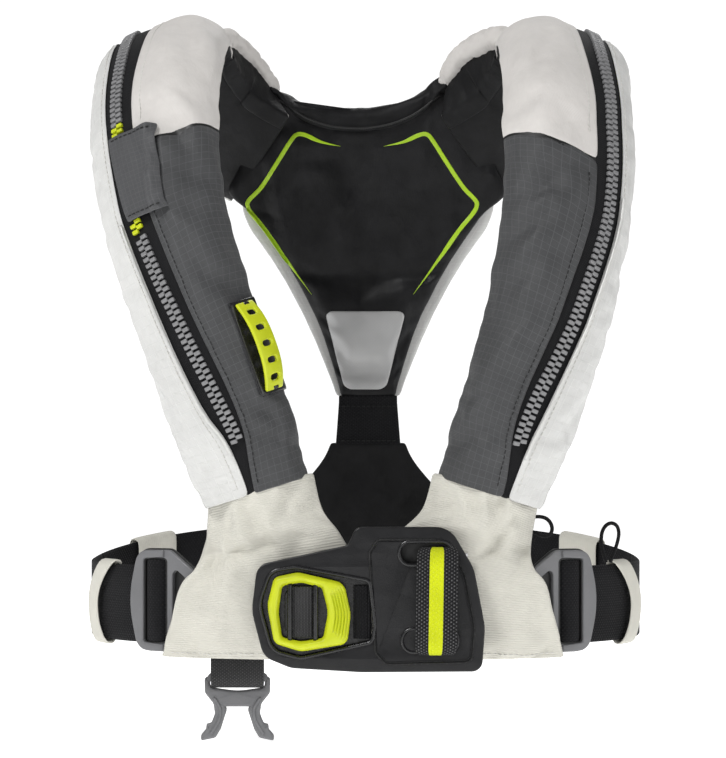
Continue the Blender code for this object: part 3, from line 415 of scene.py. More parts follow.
def fabric_look(name, colour, roughness, ribs=0.0008, grid=0.0, rib_depth=0.00008, sheen=0.15, light=1.25,
                crumple=0.0006, specular=0.2):
    """Woven cloth: fine ribs, a ripstop grid where one is given, soft crumples and cloudy wear. The ribs' tops
    and the grid's lines are painted lighter by the factor light: a painted highlight.
    """
    look = Look(name, roughness, sheen=sheen, specular=specular)
    u, v = look.along(0), look.along(1)
    cloud = look.fit(look.noise(0.035, 3.0), 0.3, 0.7)
    worn = look.fit(look.noise(0.006, 4.0), 0.35, 0.75)
    base = look.mix(cloud, shade(colour, 0.93), shade(colour, 1.05))
    base = look.mix(look.math("MULTIPLY", worn, 0.35), base, shade(colour, 0.86))
    threads = look.math("MULTIPLY", look.wave(v, ribs), look.fit(look.wave(u, ribs * 1.3), 0, 1, 0.8, 1.0))
    # painted highlight: the ribs' tops are painted lighter, by the factor light, where they would catch the
    # light
    base = look.mix(look.math("MULTIPLY", threads, 0.22), base, shade(colour, light))
    look.bump(look.noise(0.012, 3.0, stretch=(1, 1, 0.55)), crumple)
    look.bump(threads, rib_depth)
    if grid:
        lines = look.math("MAXIMUM", look.line(u, grid, 0.00035), look.line(v, grid, 0.00035))
        # painted highlight: the ripstop grid's raised lines are painted lighter still
        base = look.mix(look.math("MULTIPLY", lines, 0.50), base, shade(colour, light * 1.15))
        look.bump(lines, 0.00010)
    look.set("Base Color", base)
    look.set("Roughness", look.fit(look.noise(0.004), 0.3, 0.7, roughness - 0.07, roughness + 0.07))
    return look.made


def satin_look(name, colour, roughness):
    """Smooth black lining cloth, with soft crinkles and a faint shine. The crinkles' tops are painted lighter
    and their hollows darker: painted highlight and shade.
    """
    look = Look(name, roughness, sheen=0.02, specular=0.22)
    crinkle = look.noise(0.016, 4.0, stretch=(1, 1, 0.7))
    # painted highlight and shade: the colour follows the crinkles' relief, lighter on their tops and darker in
    # their hollows
    look.set("Base Color", look.mix(look.fit(crinkle, 0.35, 0.7), shade(colour, 0.8), shade(colour, 1.7)))
    look.bump(crinkle, 0.0016)
    weave = look.math("MULTIPLY", look.wave(look.along(0), 0.0007), look.wave(look.along(1), 0.0007))
    look.bump(weave, 0.00004)
    look.set("Roughness", look.fit(look.noise(0.010), 0.3, 0.7, roughness - 0.08, roughness + 0.10))
    return look.made


def webbing_look(name, colour, fleck_and_highlight, rib=0.0016, pick=0.0022, fleck_and_highlight_amount=0.35):
    """Woven webbing: ribs along it, crossed by staggered picks whose tops catch the light."""
    look = Look(name, 0.72, sheen=0.04, specular=0.12)
    u, v = look.along(0), look.along(1)
    stagger = look.math("MULTIPLY", look.math("FLOOR", look.math("DIVIDE", u, rib)), math.pi)
    turned = look.math("ADD", look.math("MULTIPLY", v, 2 * math.pi / pick), stagger)
    picks = look.fit(look.math("SINE", turned), -0.2, 1.0)
    ribs = look.wave(u, rib)
    weave = look.math("MULTIPLY", picks, ribs)
    fray = look.noise(0.0012, 3.0)
    shown = look.math("MULTIPLY", weave, look.fit(fray, 0.3, 0.6, 0.3, 1.0))
    base = look.mix(look.fit(look.noise(0.03), 0.3, 0.7), shade(colour, 0.85), shade(colour, 1.15))
    # the picks' tops are painted paler: a painted highlight, and on flecked webbing its real flecks too
    look.set("Base Color", look.mix(look.math("MULTIPLY", shown, fleck_and_highlight_amount), base, fleck_and_highlight))
    look.bump(weave, 0.00030)
    look.bump(fray, 0.00008)
    return look.made


def moulded_look(name, colour, roughness, grain=0.0011, depth=0.00005, coat=0.0, metallic=0.0, scuff=1.25):
    """Moulded plastic: a fine grain, faint clouding, and paler rubbed patches."""
    look = Look(name, roughness, metallic=metallic, coat=coat)
    cloud = look.fit(look.noise(0.020, 3.0), 0.3, 0.7)
    rubbed = look.fit(look.noise(0.003, 5.0), 0.58, 0.80)
    base = look.mix(cloud, shade(colour, 0.93), shade(colour, 1.06))
    look.set("Base Color", look.mix(look.math("MULTIPLY", rubbed, 0.5), base, shade(colour, scuff)))
    look.bump(look.noise(grain, 2.0), depth)
    look.set("Roughness", look.fit(look.noise(0.005, 4.0), 0.3, 0.7, roughness - 0.08, roughness + 0.10))
    return look.made


def leather_look(name, colour):
    """Soft moulded sheet with a pebbled face."""
    look = Look(name, 0.52, specular=0.34)
    pebbles = look.add("ShaderNodeTexVoronoi", "Distance", {
        "Vector": look.add("ShaderNodeTexCoord", "Object", {}), "Scale": 1300.0})
    cloud = look.fit(look.noise(0.018, 4.0), 0.3, 0.7)
    look.set("Base Color", look.mix(cloud, shade(colour, 0.85), shade(colour, 1.2)))
    look.bump(look.noise(0.02, 2.0), 0.0008)
    look.bump(pebbles, 0.00006)
    look.set("Roughness", look.fit(look.noise(0.006, 4.0), 0.3, 0.7, 0.32, 0.46))
    return look.made


def steel_look(name, colour):
    """Plated steel with fine brushing and a few duller spots."""
    look = Look(name, 0.3, metallic=1.0)
    brushed = look.noise(0.0006, 2.0, stretch=(1, 1, 0.06))
    look.set("Base Color", look.mix(brushed, shade(colour, 0.85), shade(colour, 1.1)))
    look.set("Roughness", look.fit(look.noise(0.004, 4.0), 0.3, 0.7, 0.22, 0.42))
    look.bump(brushed, 0.00003)
    return look.made


def reflective_look(name, colour):
    """Retro-reflective tape: a fine diamond grid over glass beads."""
    look = Look(name, 0.38, metallic=0.25)
    u, v = look.along(0, "Object"), look.along(2, "Object")
    cells = look.math("MAXIMUM", look.line(look.math("ADD", u, v), 0.0024, 0.0003),
                      look.line(look.math("SUBTRACT", u, v), 0.0024, 0.0003))
    base = look.mix(look.fit(look.noise(0.02), 0.3, 0.7), shade(colour, 0.95), shade(colour, 1.05))
    look.set("Base Color", look.mix(look.math("MULTIPLY", cells, 0.25), base, shade(colour, 0.8)))
    look.bump(look.noise(0.0004), 0.00002)
    look.bump(cells, 0.00004)
    return look.made


WHITE, WARM_WHITE, CREAM = (0.64, 0.64, 0.625), (0.64, 0.615, 0.59), (0.63, 0.615, 0.55)
LIME = (0.56, 0.63, 0.009)
LOOKS = {
    "outer_white": fabric_look("outer_white", WHITE, 0.70, grid=0.006, light=1.06),
    "shoulder_white": fabric_look("shoulder_white", WARM_WHITE, 0.70, light=1.05, crumple=0.0009),
    "waist_cream": fabric_look("waist_cream", CREAM, 0.74, ribs=0.0016, rib_depth=0.00018, light=1.10,
                               crumple=0.0010),
    "chest_grey": fabric_look("chest_grey", (0.047, 0.048, 0.050), 0.56, ribs=0.0009, grid=0.0048, light=2.2,
                              sheen=0.08, crumple=0.0012, specular=0.35),
    "tab_grey": fabric_look("tab_grey", (0.060, 0.061, 0.064), 0.56, ribs=0.0009, grid=0.0032, light=1.7,
                            sheen=0.08, specular=0.35),
    "lining_black": satin_look("lining_black", (0.0045, 0.0045, 0.0050), 0.50),
    "pad_black": satin_look("pad_black", (0.0050, 0.0050, 0.0056), 0.42),
    "tape_black": webbing_look("tape_black", (0.010, 0.010, 0.011), (0.035, 0.035, 0.037), rib=0.0009,
                               pick=0.0014),
    "belt_black": webbing_look("belt_black", (0.007, 0.007, 0.008), (0.040, 0.040, 0.042)),
    "loop_black": webbing_look("loop_black", (0.008, 0.008, 0.009), (0.38, 0.38, 0.38), rib=0.0017,
                               pick=0.0024, fleck_and_highlight_amount=0.42),
    "loop_lime": webbing_look("loop_lime", LIME, (0.78, 0.84, 0.10), rib=0.0021, pick=0.0030,
                              fleck_and_highlight_amount=0.4),
    "crotch_grey": webbing_look("crotch_grey", (0.040, 0.040, 0.041), (0.15, 0.15, 0.15), rib=0.0013,
                                pick=0.0018, fleck_and_highlight_amount=0.5),
    "zip_grey": moulded_look("zip_grey", (0.21, 0.21, 0.215), 0.40, grain=0.0007),
    "lime_plastic": moulded_look("lime_plastic", LIME, 0.38, scuff=1.08),
    "lime_print": moulded_look("lime_print", (0.38, 0.60, 0.010), 0.42, grain=0.0005),
    "black_plastic": moulded_look("black_plastic", (0.009, 0.009, 0.010), 0.26, scuff=1.8),
    "grey_plastic": moulded_look("grey_plastic", (0.155, 0.156, 0.162), 0.46, grain=0.0006, depth=0.00004),
    "edge_black": moulded_look("edge_black", (0.006, 0.006, 0.006), 0.50, scuff=1.5),
    "moulded_black": leather_look("moulded_black", (0.008, 0.008, 0.009)),
    "steel": steel_look("steel", (0.55, 0.55, 0.56)),
    "reflective": reflective_look("reflective", (0.43, 0.43, 0.43)),
    "piping_silver": reflective_look("piping_silver", (0.62, 0.62, 0.60)),
    "thread_black": moulded_look("thread_black", (0.006, 0.006, 0.006), 0.75, grain=0.0004),
    "thread_white": moulded_look("thread_white", (0.62, 0.61, 0.58), 0.75, grain=0.0004),
    "cord_black": webbing_look("cord_black", (0.014, 0.014, 0.015), (0.06, 0.06, 0.06), rib=0.0007,
                               pick=0.0011),
    "bladder_film": fabric_look("bladder_film", (0.72, 0.68, 0.03), 0.55, light=1.1),
    "clear_lens": moulded_look("clear_lens", (0.82, 0.85, 0.85), 0.10, coat=0.5, scuff=1.0),
}


# ---- building helpers ----------------------------------------------------------------------------
def keep(name, mesh, look):
    """A named object that shows mesh in its look."""
    made = bpy.data.objects.new(name, mesh)
    mesh.materials.clear()
    mesh.materials.append(LOOKS[look])
    scene.collection.objects.link(made)
    return made


def lengths(points):
    """How far each of points lies along the line through them."""
    total, made = 0.0, [0.0]
    for a, b in zip(points, points[1:]):
        total += (b - a).length
        made.append(total)
    return made


def grid_mesh(name, rows, round_rows=False, caps=False, outward=None):
    """The surface through rows of points, with UVs in metres: U along a row and V from row to row."""
    shape = bmesh.new()
    layer = shape.loops.layers.uv.new("metres")
    made = [[shape.verts.new(point) for point in row] for row in rows]
    across = len(made[0])
    middle = list(rows[len(rows) // 2])
    us = lengths(middle + middle[:1] if round_rows else middle)
    vs = lengths([row[across // 2] for row in rows])
    for r, (low, high) in enumerate(zip(made, made[1:])):
        for c in range(across if round_rows else across - 1):
            j = (c + 1) % across
            face = shape.faces.new((low[c], low[j], high[j], high[c]))
            corners = ((us[c], vs[r]), (us[c + 1], vs[r]), (us[c + 1], vs[r + 1]), (us[c], vs[r + 1]))
            for loop, place in zip(face.loops, corners):
                loop[layer].uv = place
    if caps:
        shape.faces.new(made[0][::-1])
        shape.faces.new(made[-1])
    bmesh.ops.recalc_face_normals(shape, faces=shape.faces)
    mesh = bpy.data.meshes.new(name)
    shape.to_mesh(mesh)
    shape.free()
    mesh.shade_smooth()
    if outward is not None:
        middle = mesh.polygons[len(mesh.polygons) // 2]
        if middle.normal.dot(Vector(outward)) < 0:
            mesh.flip_normals()
    return mesh


def modify(made, kind, **settings):
    """Adds a modifier with its settings."""
    modifier = made.modifiers.new(kind.lower(), kind)
    for key, value in settings.items():
        setattr(modifier, key, value)


def settle(made):
    """Applies the object's modifiers to its mesh."""
    graph = bpy.context.evaluated_depsgraph_get()
    shown = made.evaluated_get(graph)
    mesh = bpy.data.meshes.new_from_object(shown, preserve_all_data_layers=True, depsgraph=graph)
    made.modifiers.clear()
    made.data = mesh
    return made


def cloth_sheet(name, rows, thickness, look, outward, round_rows=False):
    """Cloth whose outer face goes through rows, thickened inwards, its edges rounded like a hem."""
    made = keep(name, grid_mesh(name, rows, round_rows, outward=outward), look)
    modify(made, "SOLIDIFY", thickness=thickness, offset=-1)
    modify(made, "SUBSURF", levels=1, render_levels=1)
    return settle(made)


def solid_form(name, rows, look):
    """A closed form through rings of points."""
    made = keep(name, grid_mesh(name, rows, round_rows=True, caps=True), look)
    modify(made, "SUBSURF", levels=1, render_levels=1)
    return settle(made)


def weld(mesh, face_out=False):
    """Joins points of the mesh that lie together, and turns its faces out where that is asked for."""
    shape = bmesh.new()
    shape.from_mesh(mesh)
    bmesh.ops.remove_doubles(shape, verts=shape.verts, dist=1e-6)
    if face_out:
        bmesh.ops.recalc_face_normals(shape, faces=shape.faces)
    shape.to_mesh(mesh)
    shape.free()
    return mesh


def ringed_mesh(name, rows, closed):
    """The surface through rings of points, closed into one loop or capped at both ends."""
    if not closed:
        return grid_mesh(name, rows, round_rows=True, caps=True)
    return weld(grid_mesh(name, rows + rows[:1], round_rows=True))


def band(name, centres, sideways, outs, width, thickness, look, closed=False):
    """A strap along centres. sideways and outs give its directions at each of them; its edges are rounded."""
    half, deep, corner = width / 2, thickness / 2, thickness * 0.45
    across = spread(-half + corner, half - corner, 6)
    section = [(x, deep) for x in across] + [(half, deep * 0.5), (half, -deep * 0.5)]
    section += [(x, -deep) for x in reversed(across)] + [(-half, -deep * 0.5), (-half, deep * 0.5)]
    rows = []
    for centre, side, out in zip(centres, sideways, outs):
        rows.append([centre + side * x + out * y for x, y in section])
    return keep(name, ringed_mesh(name, rows, closed), look)


def flat_mesh(name, loops, thickness, edge=0.0, segments=3):
    """A plate in its own XY plane, centred on Z: loops[0] is its outline and the rest are holes."""
    curve = bpy.data.curves.new(name, "CURVE")
    curve.dimensions = "2D"
    curve.fill_mode = "BOTH"
    curve.extrude = thickness / 2 - edge
    curve.bevel_depth = edge
    curve.bevel_resolution = segments
    curve.offset = -edge
    for loop in loops:
        spline = curve.splines.new("POLY")
        spline.points.add(len(loop) - 1)
        for point, place in zip(spline.points, loop):
            point.co = (place[0], place[1], 0, 1)
        spline.use_cyclic_u = True
    source = bpy.data.objects.new(name, curve)
    scene.collection.objects.link(source)
    graph = bpy.context.evaluated_depsgraph_get()
    mesh = bpy.data.meshes.new_from_object(source.evaluated_get(graph))
    bpy.data.objects.remove(source)
    weld(mesh, face_out=True)
    mesh.shade_smooth()
    mesh.set_sharp_from_angle(angle=math.radians(PLATE_SHARP))
    return mesh


PLATE_SHARP, BLOCK_SHARP = 14, 50  # degrees from which an edge is shaded sharp
FRONT = Matrix.Rotation(math.pi / 2, 4, "X")  # turns a flat plate's Z to the front, -Y


def front_plate(name, loops, thickness, front_y, look, edge=0.0):
    """A plate in the XZ plane whose front face is at front_y. The loops are (x, z) points."""
    mesh = flat_mesh(name, loops, thickness, edge)
    mesh.transform(Matrix.Translation((0, front_y + thickness / 2, 0)) @ FRONT)
    return keep(name, mesh, look)


def carried(name, mesh, place, look):
    """mesh in its look, carried by the matrix place. Its faces still point out if place mirrors it."""
    mesh.transform(place)
    if place.determinant() < 0:
        mesh.flip_normals()
    return keep(name, mesh, look)


def blocks(name, places, size, look, edge):
    """Many small rounded blocks in one mesh, one at each of the matrices in places."""
    shape = bmesh.new()
    for place in places:
        bmesh.ops.create_cube(shape, size=1, matrix=place @ Matrix.Diagonal((*size, 1)))
    mesh = bpy.data.meshes.new(name)
    shape.to_mesh(mesh)
    shape.free()
    made = keep(name, mesh, look)
    modify(made, "BEVEL", width=edge, segments=2)
    settle(made)
    made.data.shade_smooth()
    made.data.set_sharp_from_angle(angle=math.radians(BLOCK_SHARP))
    return made


def line_tube(name, points, radius, look, sides=8, closed=False):
    """A round thread, cord or bead along points, as a mesh."""
    rows = []
    for i, point in enumerate(points):
        ahead = points[(i + 1) % len(points)] if closed or i + 1 < len(points) else point
        behind = points[i - 1] if closed or i else point
        along = (ahead - behind).normalized()
        side = along.cross(Vector((0.12, 0.9, 0.3))).normalized()
        up = side.cross(along)
        rows.append([point + (side * math.cos(a) + up * math.sin(a)) * radius for a in turns(sides)])
    return keep(name, ringed_mesh(name, rows, closed), look)


def frame_at(point, along, out):
    """Axes at a point: Y along, Z out of the surface and X to the side."""
    along = along.normalized()
    out = (out - along * out.dot(along)).normalized()
    return axes_at(point, along.cross(out), along, out)


def stitches(name, path, outs, look, length=0.0024, gap=0.0012, thick=0.0006):
    """A row of stitches along path, lying on the surface whose outward directions are outs."""
    run = lengths(path)
    places = []
    at, i = gap, 0
    while at + length < run[-1]:
        middle = at + length / 2
        while run[i + 1] < middle:
            i += 1
        f = (middle - run[i]) / (run[i + 1] - run[i])
        out = outs[i].lerp(outs[i + 1], f)
        point = path[i].lerp(path[i + 1], f) + out.normalized() * thick * 0.2
        places.append(frame_at(point, path[i + 1] - path[i], out))
        at += length + gap
    return blocks(name, places, (thick, length, thick), look, thick * 0.3)


def mark(piece, slot, nodes):
    """Hides the CAD nodes that the piece stands for. slot is not used."""
    if nodes:
        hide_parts(*nodes)


def dress(piece, body, slot, *nodes):
    """The piece rides on body."""
    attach(piece, body)
    mark(piece, slot, nodes)


def drape(piece, label, slot, *nodes):
    """The piece crosses the shoulder; its transform is baked into its mesh and the CAD nodes that it stands
    for are hidden.
    """
    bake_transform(piece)
    mark(piece, slot, nodes)


def puff(name, rows, pinned, pressure, limit, excess):
    """rows of a closed tube of cloth, filled by simulation. pinned(r, c) says how firmly a point stays,
    excess is how much more cloth there is than the form needs, and limit is a point's furthest move."""
    across = len(rows[0])
    source = bpy.data.objects.new(name, grid_mesh(name, rows, round_rows=True, caps=True))
    scene.collection.objects.link(source)
    fixed = source.vertex_groups.new(name="fixed")
    for r in range(len(rows)):
        for c in range(across):
            weight = pinned(r, c)
            if weight:
                fixed.add([r * across + c], weight, "REPLACE")
    cloth = source.modifiers.new("cloth", "CLOTH")
    cloth.point_cache.frame_end = CLOTH_FRAMES
    settings = cloth.settings
    settings.quality = 6
    settings.mass = 0.15
    settings.bending_stiffness = 0.4
    settings.use_pressure = True
    settings.uniform_pressure_force = pressure
    settings.shrink_min = -excess
    settings.vertex_group_mass = "fixed"
    settings.effector_weights.gravity = 0.0
    for step in range(1, CLOTH_FRAMES + 1):
        scene.frame_set(step)
    graph = bpy.context.evaluated_depsgraph_get()
    shown = source.evaluated_get(graph).data.vertices
    made = []
    for r, row in enumerate(rows):
        moved = []
        for c, point in enumerate(row):
            shift = shown[r * across + c].co - point
            moved.append(point + shift * min(1.0, limit / max(shift.length, 1e-9)))
        made.append(moved)
    bpy.data.objects.remove(source)
    scene.frame_set(1)
    return made


# ---- camera, light and floor ---------------------------------------------------------------------
VIEW_HEIGHT = 0.4927  # height of the picture at the front plane of the jacket
VIEW_DISTANCE = 2.2
SENSOR = 36.0
CAMERA_PLACE, CAMERA_AIM = Vector((0.039, -2.30, 0.1437)), Vector((0.0, -0.10, 0.1437))
LAMP_AIM = Vector((0, 0, 0.15))
AMBIENT, FLOOR_GLOW, BACKDROP_GLOW = 0.26, 0.80, 1.1  # light from all round, the floor and the backdrop
REACH, FLOOR_GAP, DRUM_SIDES = 5.0, 0.004, 48
# Name, place, size and power of each lamp.
LAMPS = (
    ("key", (-1.2, -1.5, 2.0), 0.8, 38.0),
    ("fill", (1.8, -1.5, 0.6), 1.2, 10.0),
    ("rim", (0.3, 1.7, 1.8), 1.0, 14.0),
)


def aimed(name, data, place, target):
    """A camera or lamp at place that looks at target."""
    made = bpy.data.objects.new(name, data)
    scene.collection.objects.link(made)
    made.location = place
    made.rotation_euler = (target - made.location).to_track_quat("-Z", "Y").to_euler()
    return made


def surround(name, points, faces, look):
    """A mesh of the studio, which isn't part of the jacket."""
    mesh = bpy.data.meshes.new(name)
    mesh.from_pydata(points, [], faces)
    mesh.materials.append(look.made)
    made = bpy.data.objects.new(name, mesh)
    scene.collection.objects.link(made)
    return made


def glow(look, strength):
    look.set("Emission Color", (1.0, 1.0, 1.0))
    look.set("Emission Strength", strength)


def stage():
    """The camera, a pale floor just below the clip, and soft light from all round with a key light."""
    camera = aimed("camera", bpy.data.cameras.new("camera"), CAMERA_PLACE, CAMERA_AIM)
    camera.data.sensor_width = SENSOR
    camera.data.lens = SENSOR * VIEW_DISTANCE / VIEW_HEIGHT
    camera.data.clip_start = 0.05
    scene.camera = camera
    scene.view_settings.view_transform = "Standard"

    world = bpy.data.worlds.new("studio")
    world.use_nodes = True
    background = world.node_tree.nodes["Background"]
    background.inputs["Color"].default_value = (1.0, 1.0, 1.0, 1.0)
    background.inputs["Strength"].default_value = AMBIENT
    scene.world = world
    for name, place, size, power in LAMPS:
        data = bpy.data.lights.new(name, "AREA")
        data.size = size
        data.energy = power
        aimed(name, data, place, LAMP_AIM)

    pale = Look("floor_pale", 0.9, specular=0.0)
    pale.set("Base Color", pale.mix(pale.noise(0.4), (0.93, 0.93, 0.93), (0.96, 0.96, 0.96)))
    glow(pale, FLOOR_GLOW)
    floor_z = CAD_BOX[0].z - FLOOR_GAP
    corners = [(x * REACH, y * REACH, floor_z) for x, y in ((-1, -1), (1, -1), (1, 1), (-1, 1))]
    surround("floor", corners, [(0, 1, 2, 3)], pale)

    white = Look("backdrop_white", 1.0, specular=0.0)
    white.set("Base Color", (0.0, 0.0, 0.0))
    glow(white, BACKDROP_GLOW)
    ring = [(REACH * math.cos(a), REACH * math.sin(a)) for a in turns(DRUM_SIDES)]
    walls = [(x, y, floor_z + z) for z in (0.0, REACH) for x, y in ring]
    faces = []
    for k in range(DRUM_SIDES):
        beside = (k + 1) % DRUM_SIDES
        faces.append((k, beside, DRUM_SIDES + beside, DRUM_SIDES + k))
    faces.append(tuple(range(DRUM_SIDES, 2 * DRUM_SIDES)))
    backdrop = surround("backdrop", walls, faces, white)
    for flag in ("visible_diffuse", "visible_glossy", "visible_transmission", "visible_shadow"):
        setattr(backdrop, flag, False)


# ---- elastic cord loops --------------------------------------------------------------------------
def cord_loops():
    """The small elastic loops beside the left adjuster, each a free cord that goes back into the jacket."""
    for name, route in (("large", CORD_LARGE), ("small", CORD_SMALL)):
        path = smooth_path(route, 4)
        curve = bpy.data.curves.new(f"{name}_elastic_loop", "CURVE")
        curve.dimensions = "3D"
        curve.bevel_depth = CORD_RADIUS
        curve.bevel_resolution = 3
        curve.use_fill_caps = True
        spline = curve.splines.new("POLY")
        spline.points.add(len(path) - 1)
        for point, place in zip(spline.points, path):
            point.co = (*place, 1)
        curve.materials.append(LOOKS["cord_black"])
        made = bpy.data.objects.new(f"{name}_elastic_loop", curve)
        scene.collection.objects.link(made)
        dress(made, "left_front", "webbing_black", f"{name}_cord_loop")
        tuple(path[0])
        lengths(path)[-1]


stage()
cord_loops()


# ---- lobes ---------------------------------------------------------------------------------------
SEAM_COLUMNS = (0, TO_ZIP, TO_OUTER, TO_LINING)
STATION_STEP = (LOBE_END - LOBE_FOOT) / LOBE_ROWS
STATION_LENGTH, DEGREE_LENGTH = 0.050, 0.0006  # metres on the cover for a station and for a degree
EDGE_BLUR = 0.45  # stations over which the zip's edges are evened out
LOBE_RELIEF, FINE_RELIEF = 0.0013, 0.0006


def folded(place, ends, depth, width):
    """How far a crease presses in at place: a groove between soft ridges along the line of its ends."""
    a, b = Vector(ends[0]), Vector(ends[1])
    t = max(0.0, min(1.0, (place - a).dot(b - a) / (b - a).length_squared))
    near = (place - a.lerp(b, t)).length / width
    strength = 0.4 + 0.6 * math.sin(math.pi * min(1.0, t + 0.15))
    return depth * (1 - 1.3 * near ** 2) * math.exp(-near ** 2) * strength


class Lobe:
    """One lobe's whole cover as a grid: a row at each station, and columns that follow the zip's edges."""

    def __init__(self, label, side):
        self.label, self.side = label, side
        self.stations = spread(LOBE_FOOT, LOBE_END, LOBE_ROWS)
        rows = []
        for s in self.stations:
            rows.append([on_lobe(lobe_point(s, self.angle(s, c)), side) for c in range(COLUMNS)])
        rows = puff(f"{label}_lobe", rows, self.pinned, pressure=3.0, limit=0.0022, excess=0.04)
        self.points = [row + row[:1] for row in rows]
        self.normals = self.face_out()
        for r, s in enumerate(self.stations):
            for c in range(COLUMNS):
                self.points[r][c] = self.points[r][c] + self.normals[r][c] * self.relief(s, c)
            self.points[r][COLUMNS] = self.points[r][0]
        self.normals = self.face_out()

    def marks(self, s):
        """(column, angle) of the seams round the section at station s."""
        inner, outer = [soft_table(edge, s, EDGE_BLUR) for edge in ZIP_EDGES[self.side]]
        return zip(SEAM_COLUMNS + (COLUMNS,), (EDGE_IN, inner, outer, EDGE_OUT, 360 + EDGE_IN))

    def angle(self, s, c):
        """The section's angle at a column, which may lie between two."""
        return table(list(self.marks(s)), c)

    def column(self, s, angle):
        """The column at which the section has that angle."""
        return table([(degrees, c) for c, degrees in self.marks(s)], angle)

    def pinned(self, r, c):
        if r in (0, LOBE_ROWS) or c == 0 or TO_ZIP - 1 <= c <= TO_OUTER + 1 or c == TO_LINING:
            return 1.0
        if c > TO_LINING:
            return 0.8
        seam = abs(self.stations[r] - CHEST_TOP[self.side]) < STATION_STEP * 0.6 and c < TO_ZIP
        return 0.7 if seam else 0.5 if c > TO_OUTER else 0.0

    def relief(self, s, c):
        """Creases and soft unevenness of the cover; the zip and the lining stay smooth."""
        if c >= TO_LINING or TO_ZIP <= c <= TO_OUTER or c == 0:
            return 0.0
        across = self.angle(s, c) * DEGREE_LENGTH
        place = Vector((s * STATION_LENGTH, across))
        height = 0.0
        for (s0, a0), (s1, a1), depth, width in CREASES[self.side]:
            ends = [(s * STATION_LENGTH, a * DEGREE_LENGTH) for s, a in ((s0, a0), (s1, a1))]
            height -= CREASE_DEPTH * folded(place, ends, depth, width)
        slant = Vector((place.x * 34 + across * 30, across * 46 - place.x * 16, 3.0 + 5 * self.side))
        uneven = LOBE_RELIEF * noise.noise(slant) + FINE_RELIEF * noise.noise(slant * 2.3)
        height += uneven * (0.5 if c > TO_OUTER else 1.0)
        gap = min(abs(c - seam) for seam in SEAM_COLUMNS + (COLUMNS,))
        return height * min(1.0, gap / 3)

    def face_out(self):
        """The outward direction at each point of the grid."""
        made = []
        last = len(self.points) - 1
        for r, row in enumerate(self.points):
            middle = sum((point for point in row[:-1]), Vector()) / COLUMNS
            line = []
            for c, point in enumerate(row):
                across = row[(c + 1) % COLUMNS] - row[(c - 1) % COLUMNS]
                along = self.points[min(r + 1, last)][c] - self.points[max(r - 1, 0)][c]
                out = across.cross(along).normalized()
                line.append(out if out.dot(point - middle) > 0 else -out)
            made.append(line)
        return made

    def read(self, grid, s, c):
        r = min(max((s - LOBE_FOOT) / STATION_STEP, 0.0), LOBE_ROWS - 1e-6)
        i, j = int(r), int(c % COLUMNS)
        f, g = r - i, c % COLUMNS - j
        low = grid[i][j].lerp(grid[i][j + 1], g)
        return low.lerp(grid[i + 1][j].lerp(grid[i + 1][j + 1], g), f)

    def out(self, s, c):
        return self.read(self.normals, s, c).normalized()

    def at(self, s, c, lift=0.0):
        """The point of the cover at station s and column c, lifted off it."""
        return self.read(self.points, s, c) + self.out(s, c) * lift

    def patch(self, name, low, high, first, last, lift, thickness, look, drop=(0.0, 0.0)):
        """A piece of cloth on the lobe from station low to high and column first to last.

        drop lowers its low and its high edge towards the zip."""
        stations = spread(low, high, max(2, round((high - low) / STATION_STEP)))
        columns = spread(first, last, max(2, round(last - first)))
        rows = []
        for s in stations:
            row = []
            for c in columns:
                rise = lift(s, c) if callable(lift) else lift
                share = (s - low) / (high - low)
                fall = (drop[0] * (1 - share) + drop[1] * share) * (c / TO_ZIP) ** 2
                row.append(self.at(s - fall, c, rise))
            rows.append(row)
        outward = self.out(stations[len(stations) // 2], columns[len(columns) // 2])
        return cloth_sheet(name, rows, thickness, look, outward)

    def line(self, low, high, column, lift, steps=220):
        """A path on the cover and the outward directions along it."""
        stations = spread(low, high, steps)
        return [self.at(s, column, lift) for s in stations], [self.out(s, column) for s in stations]


PANEL_LIFT = 0.0014
SEAM_REACH, SEAM_THICK = 0.14, 0.0006  # stations each way and metres: the tape under the panels' seam
PIPE_LOW, PIPE_TOP = 2.05, {-1: 4.85, 1: 5.2}
PIPE_LIFT, PIPE_RADIUS = 0.0032, 0.0012
TAPE_THICK, TAPE_OVERLAP = 0.0009, 0.6
LINING_LIFT, LINING_OVERLAP = 0.0004, 0.4
PANEL_GAP = 0.15  # columns between a panel's edge and the zip's
# Stations where runs of grey teeth start, where lime teeth do, and the length of a lime group.
TEETH_LOWS, MARKERS, MARKER_LENGTH = (2.2, 4.87, 5.95), (4.72, 5.82), 0.14
STITCH_INSET, STITCH_END = 0.9, 0.1  # columns and stations from a panel's edge to its stitches


def tucked(low, high, first, last, seams, hem=0.0012, reach=1.3):
    """Lift of a panel that sinks at the sewn edges named in seams and stays proud elsewhere."""
    def lift(s, c):
        gaps = {
            "low": (s - low) / STATION_STEP, "high": (high - s) / STATION_STEP,
            "first": c - first, "last": last - c,
        }
        nearest = min(gaps[edge] for edge in seams)
        return PANEL_LIFT - hem * math.exp(-max(0.0, nearest) / reach)
    return lift


def zip_teeth(name, lobe, low, high, look):
    """Two rows of interlocking moulded teeth along the middle of the tape."""
    path, outs = lobe.line(low, high, TO_ZIP + ZIP_COLUMNS / 2, 0.0, 400)
    run = lengths(path)
    places = []
    i = 0
    for k in range(2 * int(run[-1] / TOOTH_PITCH)):
        at = (k + 0.5) * TOOTH_PITCH / 2
        while i + 2 < len(run) and run[i + 1] < at:
            i += 1
        f = (at - run[i]) / (run[i + 1] - run[i])
        base = frame_at(path[i].lerp(path[i + 1], f), path[i + 1] - path[i], outs[i])
        hand = 1 if k % 2 else -1
        places.append(base @ Matrix.Translation((hand * TOOTH_OFFSET, 0, TOOTH_LIFT)))
    return blocks(name, places, TOOTH, look, TOOTH_EDGE)


